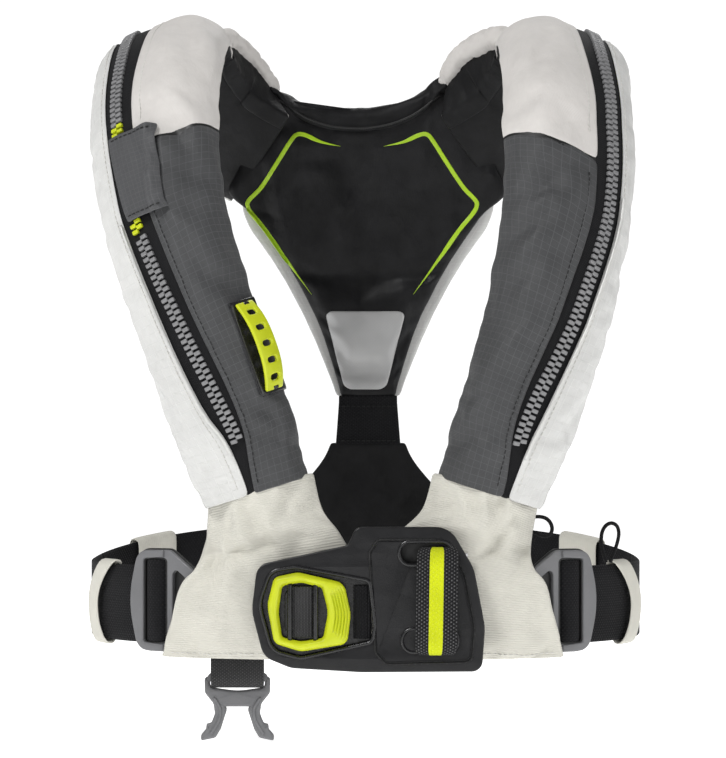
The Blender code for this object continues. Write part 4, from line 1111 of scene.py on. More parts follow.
def lobe_panels(lobe):
    """The lobe's cloth: shoulder, chest and outer panels, the tapes under them, and the lining."""
    label, top, edge, first = lobe.label, CHEST_TOP[lobe.side], TO_ZIP - PANEL_GAP, TO_OUTER + PANEL_GAP

    def panel(name, area, lift, thickness, look, slot, nodes=(), drop=(0.0, 0.0)):
        cloth = lobe.patch(f"{label}_{name}", *area, lift, thickness, look, drop)
        drape(cloth, label, slot, *[f"{label}_{node}" for node in nodes])
        return cloth

    def cover(name, area, seams, look, slot, nodes, drop=(0.0, 0.0)):
        return panel(f"{name}_cloth", area, tucked(*area, seams), FABRIC, look, slot, nodes, drop)

    shoulder = cover("shoulder", (top, LOBE_END, 0, edge), ("low", "first"), "shoulder_white", "white_cover",
                     ("shoulder_panel", "rear_shoulder_cover"), (CHEST_DROP, 0.0))
    chest = cover("chest", (LOBE_FOOT, top, 0, edge), ("high", "first"), "chest_grey", "grey_ripstop",
                  ("chest_panel",), (0.0, CHEST_DROP))
    panel("seam_tape", (top - SEAM_REACH, top + SEAM_REACH, 0, edge), 0.0, SEAM_THICK, "edge_black",
          "black_lining", drop=(CHEST_DROP, CHEST_DROP))
    outer = cover("outer", (LOBE_FOOT, LOBE_END, first, TO_LINING), ("last",), "outer_white", "white_cover",
                  ("outer_panel",))
    panel("tape", (LOBE_FOOT, LOBE_END, TO_ZIP - TAPE_OVERLAP, TO_OUTER + TAPE_OVERLAP), 0.0, TAPE_THICK,
          "tape_black", "webbing_black", ("zip_tape",))
    round_back = (LOBE_FOOT, LOBE_END, TO_LINING - LINING_OVERLAP, COLUMNS + LINING_OVERLAP - 1e-3)
    lining = panel("lining_cloth", round_back, LINING_LIFT, FABRIC, "lining_black", "black_lining",
                   ("lobe_lining", "rear_lining"))


def lobe_zip(lobe):
    """The zip's grey chain, with lime teeth where it bursts open on the wearer's right."""
    label, markers = lobe.label, MARKERS if lobe.side < 0 else ()
    for k, (low, high) in enumerate(zip(TEETH_LOWS, markers + (LOBE_END,))):
        teeth = zip_teeth(f"{label}_teeth_{k}", lobe, low, high, "zip_grey")
        drape(teeth, label, "zip_grey", *([f"{label}_zip_chain"] if k == 0 else []))
    for k, s in enumerate(markers):
        teeth = zip_teeth(f"{label}_marker_teeth_{k}", lobe, s, s + MARKER_LENGTH, "lime_plastic")
        drape(teeth, label, "lime_plastic")


def lobe_trim(lobe):
    """The piping beside the zip and the rows of stitches along it."""
    label, top = lobe.label, CHEST_TOP[lobe.side]
    inner, outer = TO_ZIP - PANEL_GAP - STITCH_INSET, TO_OUTER + PANEL_GAP + STITCH_INSET
    path = lobe.line(PIPE_LOW, PIPE_TOP[lobe.side], TO_OUTER + 0.30, PIPE_LIFT)[0]
    drape(line_tube(f"{label}_piping", path, PIPE_RADIUS, "piping_silver"), label, "reflective")
    low, high = LOBE_FOOT + STITCH_END, LOBE_END - STITCH_END
    for name, start, end, column, look, slot in (
        ("outer", low, high, outer, "thread_white", "white_cover"),
        ("shoulder", top + STITCH_END, high, inner, "thread_white", "white_cover"),
        ("chest", low, top - 0.3, inner, "thread_black", "black_lining"),
    ):
        path, outs = lobe.line(start, end, column, PANEL_LIFT)
        drape(stitches(f"{label}_{name}_stitches", path, outs, look), label, slot)


LOBES = {side: Lobe(label, side) for label, side in SIDES}
for lobe in LOBES.values():
    lobe_panels(lobe)
    lobe_zip(lobe)
    lobe_trim(lobe)


# ---- yoke and collar -----------------------------------------------------------------------------
# The collar's upper and lower edges: (x, z).
COLLAR_TOP = (
    (-0.0690, 0.3550), (-0.0655, 0.3525), (-0.0570, 0.3445), (-0.0486, 0.3392), (-0.0345, 0.3379),
    (-0.0060, 0.3364), (0.0128, 0.3379), (0.0284, 0.3421), (0.0368, 0.3480), (0.0524, 0.3600),
    (0.0577, 0.3640),
)
COLLAR_LOW = (
    (-0.0690, 0.3456), (-0.0528, 0.3308), (-0.0366, 0.3223), (-0.0143, 0.3183), (0.0093, 0.3195),
    (0.0270, 0.3251), (0.0418, 0.3332), (0.0577, 0.3501),
)
COLLAR_ENDS = COLLAR_LOW[0][0], COLLAR_LOW[-1][0]
COLLAR_ROWS, COLLAR_RING = 48, 18
PAD_LOW, PAD_HIGH = 0.1295, 0.3185
PAD_ROWS, PAD_FRONT, PAD_REAR = 44, 30, 10
PAD_RIM, PAD_CROWN = 0.0040, 0.0050
# Half of the lime line round the pad's middle, from its upper taper to its lower one: (x, z).
LIME_LINE = (
    (0.0150, 0.3080), (0.0290, 0.3110), (0.0400, 0.3158), (0.0460, 0.3160), (0.0505, 0.3110), (0.0610, 0.2945),
    (0.0715, 0.2790), (0.0800, 0.2700), (0.0808, 0.2655), (0.0780, 0.2605), (0.0690, 0.2495), (0.0568, 0.2320),
    (0.0465, 0.2180), (0.0360, 0.2035),
)
PAD_WINGS = ((0.262, 0.0), (0.276, 0.014), (0.320, 0.019))
PAD_RAISED = 0.285  # above this height the pad follows the collar's lower edge
PAD_INSET, PAD_END = 0.0030, 0.012
LIME_CENTRE, LIME_WIDTH, LIME_GROOVE, PAD_RELIEF = -0.0040, 0.0031, 0.0011, 0.0012
PATCH_CENTRE, PATCH_LOW, PATCH_HIGH, PATCH_CORNER = -0.0020, 0.1362, 0.1918, 0.0040
PATCH_HALF = ((0.1362, 0.0148), (0.1918, 0.0292))


def pad_half(z):
    return soft_table(PAD_EDGE, z, 0.008) - PAD_INSET + table(PAD_WINGS, z)


def collar_low(x):
    return soft_table(COLLAR_LOW, x, 0.012)


def pad_top(x, z):
    """Raises the pad's upper part so that its top edge follows the collar's lower edge."""
    share = max(0.0, (z - PAD_RAISED) / (PAD_HIGH - PAD_RAISED))
    return z + (collar_low(x) + 0.002 - PAD_HIGH) * share ** 2


def pad_ends(z, reach):
    """0 at the pad's lower and upper ends, and 1 from reach above and below them."""
    return max(0.0, min(1.0, (z - PAD_LOW) / reach, (PAD_HIGH - z) / reach))


def ring_about(x_low, x_high, front, rear, front_count, rear_count):
    """A closed row: front(x) from one edge to the other, then rear(x) back again."""
    row = [front(x) for x in spread(x_low, x_high, front_count)]
    inset = (x_high - x_low) * 0.02
    return row + [rear(x) for x in spread(x_high - inset, x_low + inset, rear_count - 1)]


def back_pad():
    """The black padded panel that lies on the wearer's back."""
    rows = []
    for z in spread(PAD_LOW, PAD_HIGH, PAD_ROWS):
        half = pad_half(z)

        def front(x):
            rise = PAD_CROWN * (1 - abs(x / half) ** 6) * math.sqrt(pad_ends(z, PAD_END))
            return back_point(x, pad_top(x, z), PAD_RIM - rise)

        def rear(x):
            return back_point(x, pad_top(x, z), PAD_THICK - 0.0005)

        rows.append(ring_about(-half, half, front, rear, PAD_FRONT, PAD_REAR))

    def pinned(r, c):
        return 1.0 if r in (0, PAD_ROWS) or c >= PAD_FRONT or c == 0 else 0.0

    rows = puff("pad", rows, pinned, pressure=2.0, limit=0.0025, excess=0.05)
    for r, row in enumerate(rows):
        for c in range(2, PAD_FRONT - 1):
            place = row[c]
            flat = Vector((abs(place.x - LIME_CENTRE), place.z))
            near = min((flat - point).length for point in LIME_PATH)
            slant = Vector((place.x * 90 + place.z * 50, place.z * 42 - place.x * 30, 2.0))
            shift = LIME_GROOVE * math.exp(-(near / 0.004) ** 2) + PAD_RELIEF * noise.noise(slant)
            fade = min(1.0, r / 4, (PAD_ROWS - r) / 4)
            row[c] = place + Vector((0, shift * fade, 0))
    made = solid_form("back_pad_cloth", rows, "pad_black")
    dress(made, "back", "black_lining", "back_pad")
    return made


def surface_of(made):
    """The object's surface, for casting rays at it."""
    return BVHTree.FromObject(made, bpy.context.evaluated_depsgraph_get())


def on_front(surface, x, z, lift):
    """The point of a surface that faces the front at x and z, lifted towards the front."""
    hit = surface.ray_cast(Vector((x, -0.5, z)), Vector((0, 1, 0)))[0]
    return Vector((x, (hit.y if hit else back_point(x, z).y) - lift, z))


def pad_prints(surface):
    """The lime line and the reflective patch on the pad's face."""
    for name, side in SIDES:
        path = [Vector((LIME_CENTRE + side * x, 0, z)) for x, z in LIME_PATH]
        rows = []
        for i, point in enumerate(path):
            along = heading(path, i)
            across = Vector((along.z, 0, -along.x))
            taper = min(1.0, i / 9, (len(path) - 1 - i) / 14)
            half = LIME_WIDTH / 2 * max(0.12, taper)
            row = []
            for k in (-1, -0.5, 0, 0.5, 1):
                row.append(on_front(surface, *(point + across * half * k).xz, 0.0004 - 0.0001 * abs(k)))
            rows.append(row)
        made = cloth_sheet(f"{name}_lime_line", rows, 0.0006, "lime_print", TO_FRONT)
        dress(made, "back", "lime_plastic")
    rows = []
    for z in spread(PATCH_LOW, PATCH_HIGH, 24):
        inside = PATCH_CORNER - min(PATCH_CORNER, z - PATCH_LOW, PATCH_HIGH - z)
        rounding = math.sqrt(max(0.0, PATCH_CORNER ** 2 - inside ** 2))
        half = table(PATCH_HALF, z) - PATCH_CORNER + rounding
        rows.append([on_front(surface, PATCH_CENTRE + x, z, 0.0006) for x in spread(-half, half, 14)])
    made = cloth_sheet("reflective_patch", rows, 0.0008, "reflective", TO_FRONT)
    dress(made, "back", "reflective", "back_reflective_patch")


COVER_MARGIN = ((0.12, 0.003), (0.18, 0.009), (0.25, 0.011), (0.272, 0.004), (0.33, -0.003))
COVER_ROWS, COVER_REAR, COVER_FRONT, COVER_END = 36, 28, 9, 0.015
COVER_CROWN = 0.0045


def cover_half(z):
    return soft_table(PAD_EDGE, z, 0.010) + table(COVER_MARGIN, z)


def back_cover():
    """The puffed white cover behind the pad."""
    rows = []
    for z in spread(PAD_LOW, PAD_HIGH, COVER_ROWS):
        half = cover_half(z) - 0.004
        crown = COVER_CROWN * math.sqrt(pad_ends(z, COVER_END))

        def rear(x):
            return back_point(x, pad_top(x, z), PAD_THICK + 0.0012 + crown * (1 - abs(x / half) ** 4))

        def front(x):
            return back_point(x, pad_top(x, z), PAD_THICK + 0.0004)

        rows.append(ring_about(-half, half, rear, front, COVER_REAR, COVER_FRONT))

    def pinned(r, c):
        return 1.0 if r in (0, COVER_ROWS) or c >= COVER_REAR or c == 0 else 0.0

    rows = puff("cover", rows, pinned, pressure=2.0, limit=0.003, excess=0.05)
    made = solid_form("back_cover_cloth", rows, "outer_white")
    dress(made, "back", "white_cover", "back_cover")
    surface = surface_of(made)
    for name, side in SIDES:
        path = []
        for z in spread(PAD_LOW + 0.006, PAD_HIGH - 0.006, 60):
            x = side * (cover_half(z) - 0.0105)
            hit = surface.ray_cast(Vector((x, 0.5, z)), TO_FRONT)[0]
            path.append(hit if hit else back_point(x, z, PAD_THICK + 0.003))
        row = stitches(f"{name}_cover_stitches", path, [-TO_FRONT] * len(path), "thread_white")
        dress(row, "back", "white_cover")


def collar():
    """The soft black roll behind the wearer's neck."""
    rows = []
    for x in spread(*COLLAR_ENDS, COLLAR_ROWS):
        low, high = collar_low(x), soft_table(COLLAR_TOP, x, 0.012)
        end = min(1.0, (x - COLLAR_ENDS[0]) / 0.018, (COLLAR_ENDS[1] - x) / 0.018)
        deep = 0.0045 + 0.0040 * math.sqrt(max(0.0, end))
        y = back_point(x, 0.333).y + 0.005 - 0.006 * (1 - end)
        middle, half = (low + high) / 2, (high - low) / 2
        ring = [(deep * math.cos(a), half * math.sin(a)) for a in turns(COLLAR_RING)]
        rows.append([Vector((x, y + dy, middle + dz)) for dy, dz in ring])

    def pinned(r, c):
        return 1.0 if r in (0, COLLAR_ROWS) or c in (13, 14) else 0.0

    rows = puff("collar", rows, pinned, pressure=2.5, limit=0.003, excess=0.08)
    made = solid_form("neck_collar_cloth", rows, "lining_black")
    dress(made, "back", "black_lining", "neck_collar")
    path = []
    for x in spread(COLLAR_ENDS[0] * 0.9, COLLAR_ENDS[1] * 0.9, 50):
        path.append(Vector((x, back_point(x, 0.32).y - 0.0050, collar_low(x) + 0.0012)))
    dress(line_tube("collar_seam", path, 0.0007, "edge_black"), "back", "black_lining")


# The shoulder cover's rolled edge from the top of each lobe down to the collar: (x, y, z, radius).
NECK_ROLLS = {
    -1: ((-0.1010, 0.030, 0.3790, 0.0060), (-0.0955, 0.045, 0.3795, 0.0068), (-0.0890, 0.058, 0.3755, 0.0068),
         (-0.0812, 0.068, 0.3685, 0.0064), (-0.0737, 0.076, 0.3598, 0.0060), (-0.0680, 0.081, 0.3512, 0.0056),
         (-0.0655, 0.083, 0.3455, 0.0040)),
    1: ((0.1010, 0.030, 0.3780, 0.0070), (0.0900, 0.042, 0.3795, 0.0080), (0.0805, 0.053, 0.3768, 0.0084),
        (0.0706, 0.062, 0.3730, 0.0082), (0.0630, 0.071, 0.3660, 0.0076), (0.0578, 0.077, 0.3580, 0.0068),
        (0.0550, 0.081, 0.3510, 0.0050)),
}
NECK_FROM, NECK_TO = 8.5, LOBE_END - 0.02  # the lobe's stations between which the neck side is lined
NECK_RING, NECK_STEPS, NECK_ACROSS = 20, 30, 16
NECK_GATHER, NECK_RIPPLE, NECK_HOLLOW = 0.10, 0.0009, 0.0020


def neck_roll(label, side, middle):
    """The soft white roll along the shoulder's neck side, gathered a little."""
    radii = smooth_path([(radius, 0, 0) for *_, radius in NECK_ROLLS[side]], 8)
    rows = []
    for i, point in enumerate(middle):
        along = heading(middle, i)
        across = along.cross(Vector((0, 1, 0))).normalized()
        deep = along.cross(across)
        ring = []
        for a in turns(NECK_RING):
            around = Vector((i * 0.45, math.cos(a) * 0.9, math.sin(a) * 0.9 + side))
            gather = 1 + NECK_GATHER * noise.noise(around)
            arm = across * math.cos(a) + deep * math.sin(a) * 0.9
            ring.append(point + arm * radii[i].x * gather)
        rows.append(ring)

    def pinned(r, c):
        return 1.0 if r in (0, len(rows) - 1) or c in (4, 5) else 0.0

    rows = puff(f"{label}_roll", rows, pinned, pressure=2.5, limit=0.002, excess=0.08)
    made = solid_form(f"{label}_neck_roll", rows, "shoulder_white")
    drape(made, label, "white_cover")


def neck_lining(label, side, middle):
    """The black lining from the lobe's skin side over its edge to the neck roll."""
    lobe, rows = LOBES[side], []
    for t in spread(0, 1, NECK_STEPS):
        s = NECK_FROM + (NECK_TO - NECK_FROM) * t
        low, edge = lobe.at(s, COLUMNS - 2.5, 0.0020), lobe.at(s, 0.4, 0.0034)
        high = middle[round(t * (len(middle) - 1))]
        row = []
        for u in spread(0, 1, NECK_ACROSS):
            ripple = NECK_RIPPLE * noise.noise(Vector((t * 5, u * 3, side)))
            place = low.lerp(edge, u * 3) if u < 1 / 3 else edge.lerp(high, u * 1.5 - 0.5)
            row.append(place + Vector((0, ripple - NECK_HOLLOW * math.sin(math.pi * u), 0)))
        rows.append(row)
    made = cloth_sheet(f"{label}_neck_lining", rows, FABRIC, "lining_black", TO_FRONT)
    drape(made, label, "black_lining")
    wide, tall = lengths([row[6] for row in rows])[-1], lengths(rows[NECK_STEPS // 2])[-1]


STRAP_HALF = ((0.092, 0.0235), (0.127, 0.0208))
LUMBAR_HALF = ((-0.030, 0.084), (0.035, 0.080), (0.075, 0.040), (0.0965, 0.0245))
BACK_RIPPLE = 0.0006
YOKE_SEAMS, YOKE_SEAM_HALF = (0.1000, 0.1245), 0.0200
YOKE_FACES = (("inner", -1, 0.0008), ("outer", 1, 0.0048))  # name, direction, distance from the body


def back_sheet(name, low, high, half_width, lift, thickness, look):
    rows = []
    for z in spread(low, high, 30):
        half = half_width(z)
        row = []
        for x in spread(-half, half, 22):
            ripple = BACK_RIPPLE * noise.noise(Vector((x * 60, z * 40, 7.0)))
            row.append(back_point(x, z, lift + ripple))
        rows.append(row)
    return cloth_sheet(name, rows, thickness, look, -TO_FRONT)


def lower_back():
    """The strap below the pad and the flared panel that joins it to the belt, with their stitches."""
    strap = back_sheet("yoke_strap_cloth", 0.0965, 0.1320, lambda z: table(STRAP_HALF, z), 0.0045, 0.0034,
                       "belt_black")
    dress(strap, "back", "black_lining", "yoke_strap")
    flare = back_sheet("lumbar_cloth", -0.019, 0.0985, lambda z: soft_table(LUMBAR_HALF, z, 0.012), 0.0032,
                       0.0024, "lining_black")
    dress(flare, "back", "black_lining", "lumbar_panel")
    for k, z in enumerate(YOKE_SEAMS):
        for face, out, lift in YOKE_FACES:
            path = [back_point(x, z, lift) for x in spread(-YOKE_SEAM_HALF, YOKE_SEAM_HALF, 16)]
            outs = [-TO_FRONT * out] * len(path)
            row = stitches(f"yoke_stitches_{face}_{k}", path, outs, "thread_black")
            dress(row, "back", "black_lining")


LIME_PATH = [point.xy for point in smooth_path([(x, z, 0) for x, z in LIME_LINE], 6)]
pad_prints(surface_of(back_pad()))
back_cover()
collar()
for label, side in SIDES:
    roll_path = smooth_path([mark[:3] for mark in NECK_ROLLS[side]], 8)
    neck_roll(label, side, roll_path)
    neck_lining(label, side, roll_path)
lower_back()


# ---- waist panels --------------------------------------------------------------------------------
WAIST_ROWS, WAIST_COLUMNS, WAIST_REAR = 36, 30, 8
WAIST_REAR_SHARE, WAIST_REAR_SINK, WAIST_RELIEF = 0.72, 0.0028, 0.0018
# Creases of each waist panel: (across, down) of both ends in metres, depth and width.
WAIST_CREASES = {
    -1: (((0.052, 0.012), (0.050, 0.060), 0.0020, 0.008), ((0.068, 0.020), (0.072, 0.070), 0.0016, 0.008),
         ((0.020, 0.006), (0.034, 0.034), 0.0016, 0.007), ((0.085, 0.040), (0.098, 0.088), 0.0014, 0.007),
         ((0.030, 0.050), (0.060, 0.100), 0.0012, 0.010)),
    1: (((0.050, 0.010), (0.062, 0.052), 0.0026, 0.008), ((0.066, 0.016), (0.060, 0.060), 0.0018, 0.007),
        ((0.030, 0.006), (0.044, 0.030), 0.0016, 0.007), ((0.084, 0.030), (0.092, 0.080), 0.0018, 0.009),
        ((0.060, 0.062), (0.036, 0.096), 0.0014, 0.010)),
}


def waist_rows(side):
    """The waist panel's closed rows: across its crowned front, then back along its flatter rear."""
    inner, outer = [Vector(row[0]) for row in WAIST_PANEL], [Vector(row[1]) for row in WAIST_PANEL]
    bulges = [Vector((row[2], 0, 0)) for row in WAIST_PANEL]

    def crown(u):
        return 1 - abs(2 * u - 1) ** PANEL_CROWN

    rows = []
    for t in spread(0, len(WAIST_PANEL) - 1, WAIST_ROWS):
        a, b, bulge = catmull(inner, t), catmull(outer, t), catmull(bulges, t).x
        row = [a.lerp(b, u) + PANEL_OUT * bulge * crown(u) for u in spread(0, 1, WAIST_COLUMNS)]
        for u in spread(0.98, 0.02, WAIST_REAR - 1):
            row.append(a.lerp(b, u) + PANEL_OUT * (bulge * WAIST_REAR_SHARE * crown(u) - WAIST_REAR_SINK))
        rows.append([on_lobe(point, side) for point in row])
    return rows


def waist_relief(rows, side, out):
    """Presses the panel's creases and soft unevenness into rows."""
    down, middle = 0.0, WAIST_COLUMNS // 2
    for r, row in enumerate(rows):
        if r:
            down += (row[middle] - rows[r - 1][middle]).length
        across = lengths(row[:WAIST_COLUMNS + 1])
        for c in range(1, WAIST_COLUMNS):
            place = Vector((across[c], down))
            slant = Vector((place.x * 60 + place.y * 14, place.y * 30, 4.0 + side))
            height = WAIST_RELIEF * noise.noise(slant)
            for start_at, end_at, depth, width in WAIST_CREASES[side]:
                height -= CREASE_DEPTH * folded(place, (start_at, end_at), depth, width)
            fade = min(1.0, c / 3, (WAIST_COLUMNS - c) / 3, (WAIST_ROWS - r) / 4, r / 2)
            row[c] = row[c] + out * height * fade


def waist_panel(label, side):
    """The puffed cream panel that closes a lobe's foot and covers the belt's front end."""
    def pinned(r, c):
        return 1.0 if r in (0, WAIST_ROWS) or c > WAIST_COLUMNS or c == 0 else 0.0

    rows = puff(f"{label}_waist", waist_rows(side), pinned, pressure=1.5, limit=0.0025, excess=0.05)
    out = Vector((-PANEL_OUT.x * side, PANEL_OUT.y, 0))
    waist_relief(rows, side, out)
    made = solid_form(f"{label}_waist_cloth", rows, "waist_cream")
    dress(made, f"{label}_front", "white_cover", f"{label}_waist_panel")
    hem = [point + out * 0.0003 for point in rows[WAIST_ROWS - 2][1:WAIST_COLUMNS]]
    row = stitches(f"{label}_waist_stitches", hem, [out] * len(hem), "thread_white")
    dress(row, f"{label}_front", "white_cover")


for label, side in SIDES:
    waist_panel(label, side)


def belt_path(low, high, lift, steps):
    """Centres, upward and outward directions of a run of belt between two angles round the waist."""
    centres, ups, outs = [], [], []
    for a in spread(low, high, steps):
        here, ahead = waist_point(a, 0, lift(a)), waist_point(a + 0.5, 0, lift(a))
        along = (ahead - here).normalized()
        out = Vector((along.y, -along.x, 0))
        centres.append(Vector((here.x, here.y, belt_z(a))) - out * BELT_THICK / 2)
        ups.append(Vector((0, 0, 1)))
        outs.append(out)
    return centres, ups, outs


def bend_at_hip(piece, label, side, slot, *nodes):
    """The piece runs past a hip, from the back to the front; its transform is baked into its mesh and the CAD
    nodes that it stands for are hidden.
    """
    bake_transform(piece)
    mark(piece, slot, nodes)


KEEPER_ROOM, KEEPER_EDGE = 0.0022, 0.0030  # the keeper loops' room over the belt's faces and its edges
KEEPER_SEAM = 0.14  # share of a loop's length between its edge and its stitches


def keeper_loop(name, body, node, angles, shift, bulge):
    """A fabric loop round the belt between two angles, and its stitches.

    shift(t) moves it round the waist at heights t from -1 to 1."""
    low, high = sorted(angles)
    half = BELT_WIDTH / 2 + KEEPER_EDGE
    inner, outer = BELT_LIFT - BELT_THICK - KEEPER_ROOM, BELT_LIFT + KEEPER_ROOM
    heights, side_lift = spread(-0.92, 0.92, 10), (inner + outer) / 2 + 0.0012
    around = [(t, outer + bulge * (1 - t * t)) for t in heights] + [(0.99, side_lift)]
    around += [(t, inner) for t in reversed(heights)] + [(-0.99, side_lift)]
    rows = []
    for a in spread(low, high, 7):
        rows.append([waist_point(a + shift(t), belt_z(a) + t * half, lift) for t, lift in around])
    middle = (low + high) / 2
    outward = waist_point(middle, 0, 0.02) - waist_point(middle, 0, 0)
    made = cloth_sheet(name, rows, FABRIC, "waist_cream", outward, round_rows=True)
    dress(made, body, "white_cover", node)
    inset = (high - low) * KEEPER_SEAM
    for k, a in enumerate((low + inset, high - inset)):
        path = []
        for t in spread(-0.86, 0.86, 14):
            path.append(waist_point(a + shift(t), belt_z(a) + t * half, outer + bulge * (1 - t * t) + 0.0002))
        row = stitches(f"{name}_stitches_{k}", path, [outward.normalized()] * len(path), "thread_white")
        dress(row, body, "white_cover")


# The belt's lift off the waist along a side run, which goes under the waist panel at its front end.
SIDE_LIFT = ((180, BELT_LIFT), (222, BELT_LIFT), (232, BELT_LIFT - 0.004))
BACK_RUN, SIDE_RUN = (9, 171), (170.5, 262)
REAR_KEEPER, SIDE_KEEPER = (134.5, 149.5), (195.5, 203.5)


def belts():
    """The belt's back run, its two side runs and the four fabric loops round them."""
    centres, ups, outs = belt_path(*BACK_RUN, lambda a: BELT_LIFT, 90)
    webbing = band("back_belt_webbing", centres, ups, outs, BELT_WIDTH, BELT_THICK, "belt_black")
    dress(webbing, "back", "webbing_black", "back_belt")
    for label, side in SIDES:
        def turned(a):
            return a if side < 0 else 540 - a

        def slant(t):
            return -side * (9.0 * max(0.0, t) ** 1.6 + 5.0 * max(0.0, -t) ** 2.5)

        low, high = sorted(map(turned, SIDE_RUN))
        centres, ups, outs = belt_path(low, high, lambda a: table(SIDE_LIFT, turned(a)), 60)
        webbing = band(f"{label}_belt_webbing", centres, ups, outs, BELT_WIDTH, BELT_THICK, "belt_black")
        bend_at_hip(webbing, label, side, "webbing_black", f"{label}_side_belt")
        keeper_loop(f"{label}_rear_loop", "back", f"{label}_belt_keeper", map(turned, REAR_KEEPER),
                    lambda t: 0, bulge=0.0012)
        keeper_loop(f"{label}_side_loop", f"{label}_front", f"{label}_side_keeper", map(turned, SIDE_KEEPER),
                    slant, bulge=0.0014)


ADJUSTER_FROM, ADJUSTER_TO, ADJUSTER_LIFT = 240, 213, 0.0135
WINDOW = (
    (0.0225, 0.0268, 0.002), (0.0395, 0.0268, 0.002), (0.0395, -0.0268, 0.002), (0.0225, -0.0268, 0.002),
)
SLOT = ((0.007, 0.0150, 0.003), (0.0175, 0.0225, 0.003), (0.0175, -0.0225, 0.003), (0.007, -0.0150, 0.003))
# The raised outer part of the frame, a C round the window.
OUTER_C = (
    (0.0240, 0.0330, 0.001), (0.0450, 0.0325, 0.010), (0.0530, 0.0000, 0.070), (0.0450, -0.0325, 0.010),
    (0.0240, -0.0330, 0.001), (0.0240, -0.0282, 0.001), (0.0402, -0.0272, 0.002), (0.0402, 0.0272, 0.002),
    (0.0240, 0.0282, 0.001),
)
# The belt's turn over the bar: (x, z) in the adjuster's own axes.
WRAP = (
    (0.0460, -0.0050), (0.0405, -0.0015), (0.0360, 0.0022), (0.0310, 0.0034), (0.0262, 0.0022),
    (0.0235, -0.0012), (0.0225, -0.0055),
)
WRAP_WIDTH, WRAP_THICK = BELT_WIDTH + 0.0030, 0.0018


def adjuster_place(side):
    """The adjuster's own axes: X outboard along the belt, Y up and Z out."""
    inboard, outboard = [waist_point(a, 0, ADJUSTER_LIFT) for a in (ADJUSTER_FROM, ADJUSTER_TO)]
    along = (outboard - inboard).normalized()
    out = Vector((along.y, -along.x, 0))
    if out.y > 0:
        out.negate()
    return axes_at(sided(inboard, side), sided(along, side), Vector((0, 0, 1)), sided(out, side))


def adjuster(label, side):
    """A belt adjuster: its black-edged frame, the raised outer part and the belt's turn over the bar."""
    place = adjuster_place(side)
    body = f"{label}_adjuster"
    frame_loop, window = rounded(ADJUSTER), rounded(WINDOW)
    # Name, outlines, thickness, edge, height, look, slot and the CAD nodes of each moulded layer.
    layers = (
        ("plate", [frame_loop, window, rounded(SLOT)], 0.0044, 0.0009, 0.0, "grey_plastic", "grey_plastic",
         (f"{body}_frame",)),
        ("outer", [rounded(OUTER_C)], 0.0030, 0.0011, 0.0026, "grey_plastic", "grey_plastic", ()),
        ("rim", [grown(frame_loop, 0.0009), grown(window, -0.0006)], 0.0016, 0.0004, -0.0018, "edge_black",
         "black_plastic", ()),
        ("lip", [grown(window, 0.0009), grown(window, -0.0001)], 0.0052, 0.0003, 0.0, "edge_black",
         "black_plastic", ()),
    )
    for name, loops, thickness, edge, height, look, slot, nodes in layers:
        mesh = flat_mesh(f"{body}_{name}", loops, thickness, edge)
        layer = carried(f"{body}_{name}", mesh, place @ Matrix.Translation((0, 0, height)), look)
        dress(layer, body, slot, *nodes)

    path = smooth_path([(x, 0, z) for x, z in WRAP], 5)
    tangents = [heading(path, i) for i in range(len(path))]
    outs = [Vector((-t.z, 0, t.x)) * (1 if t.x < 0 else -1) for t in tangents]
    outs = [o if o.z > 0 or abs(o.z) < 0.4 else -o for o in outs]
    turn = place.to_3x3()
    wrap = band(f"{body}_webbing", [place @ point for point in path], [turn @ Vector((0, 1, 0))] * len(path),
                [turn @ o for o in outs], WRAP_WIDTH, WRAP_THICK, "belt_black")
    dress(wrap, body, "webbing_black")


belts()
for label, side in SIDES:
    adjuster(label, side)


# ---- front plate and buckle ----------------------------------------------------------------------
# Corners of the stitched part of the plate, round the safety-line loop.
STITCHED = (
    (0.0060, 0.0330, 0.003), (0.0105, 0.0405, 0.003), (0.0530, 0.0405, 0.012), (0.0645, 0.0190, 0.030),
    (0.0705, -0.0130, 0.030), (0.0690, -0.0350, 0.004), (0.0160, -0.0365, 0.004), (0.0100, -0.0300, 0.004),
)
# Centre, width and height of the safety-line loop's two slots.
UPPER_SLOT, LOWER_SLOT = (0.0410, 0.0330, 0.0320, 0.0125), (0.0435, -0.0225, 0.0330, 0.0125)
RIM_THICK, RIM_RISE = 0.0034, 0.0016


def slot_loop(x, z, width, height, grow=0.0):
    """A slot outline with round ends, its centre at (x, z)."""
    dx, dz = width / 2 + grow, height / 2 + grow
    r = dz * 0.96
    return rounded(((x - dx, z - dz, r), (x + dx, z - dz, r), (x + dx, z + dz, r), (x - dx, z + dz, r)), 7)


def front_path(loop, y):
    return [Vector((point.x, y, point.y)) for point in loop]


def box_loop(x, z, half_width, half_height, radius):
    """A rounded rectangle's outline, its centre at (x, z)."""
    corners = ((-1, -1), (1, -1), (1, 1), (-1, 1))
    return rounded([(x + i * half_width, z + j * half_height, radius) for i, j in corners])


def plate_piece(name, loops, thickness, front_y, look, slot, edge, *nodes):
    """A flat piece of the front plate, which goes with the left front half."""
    dress(front_plate(name, loops, thickness, front_y, look, edge), "left_front", slot, *nodes)


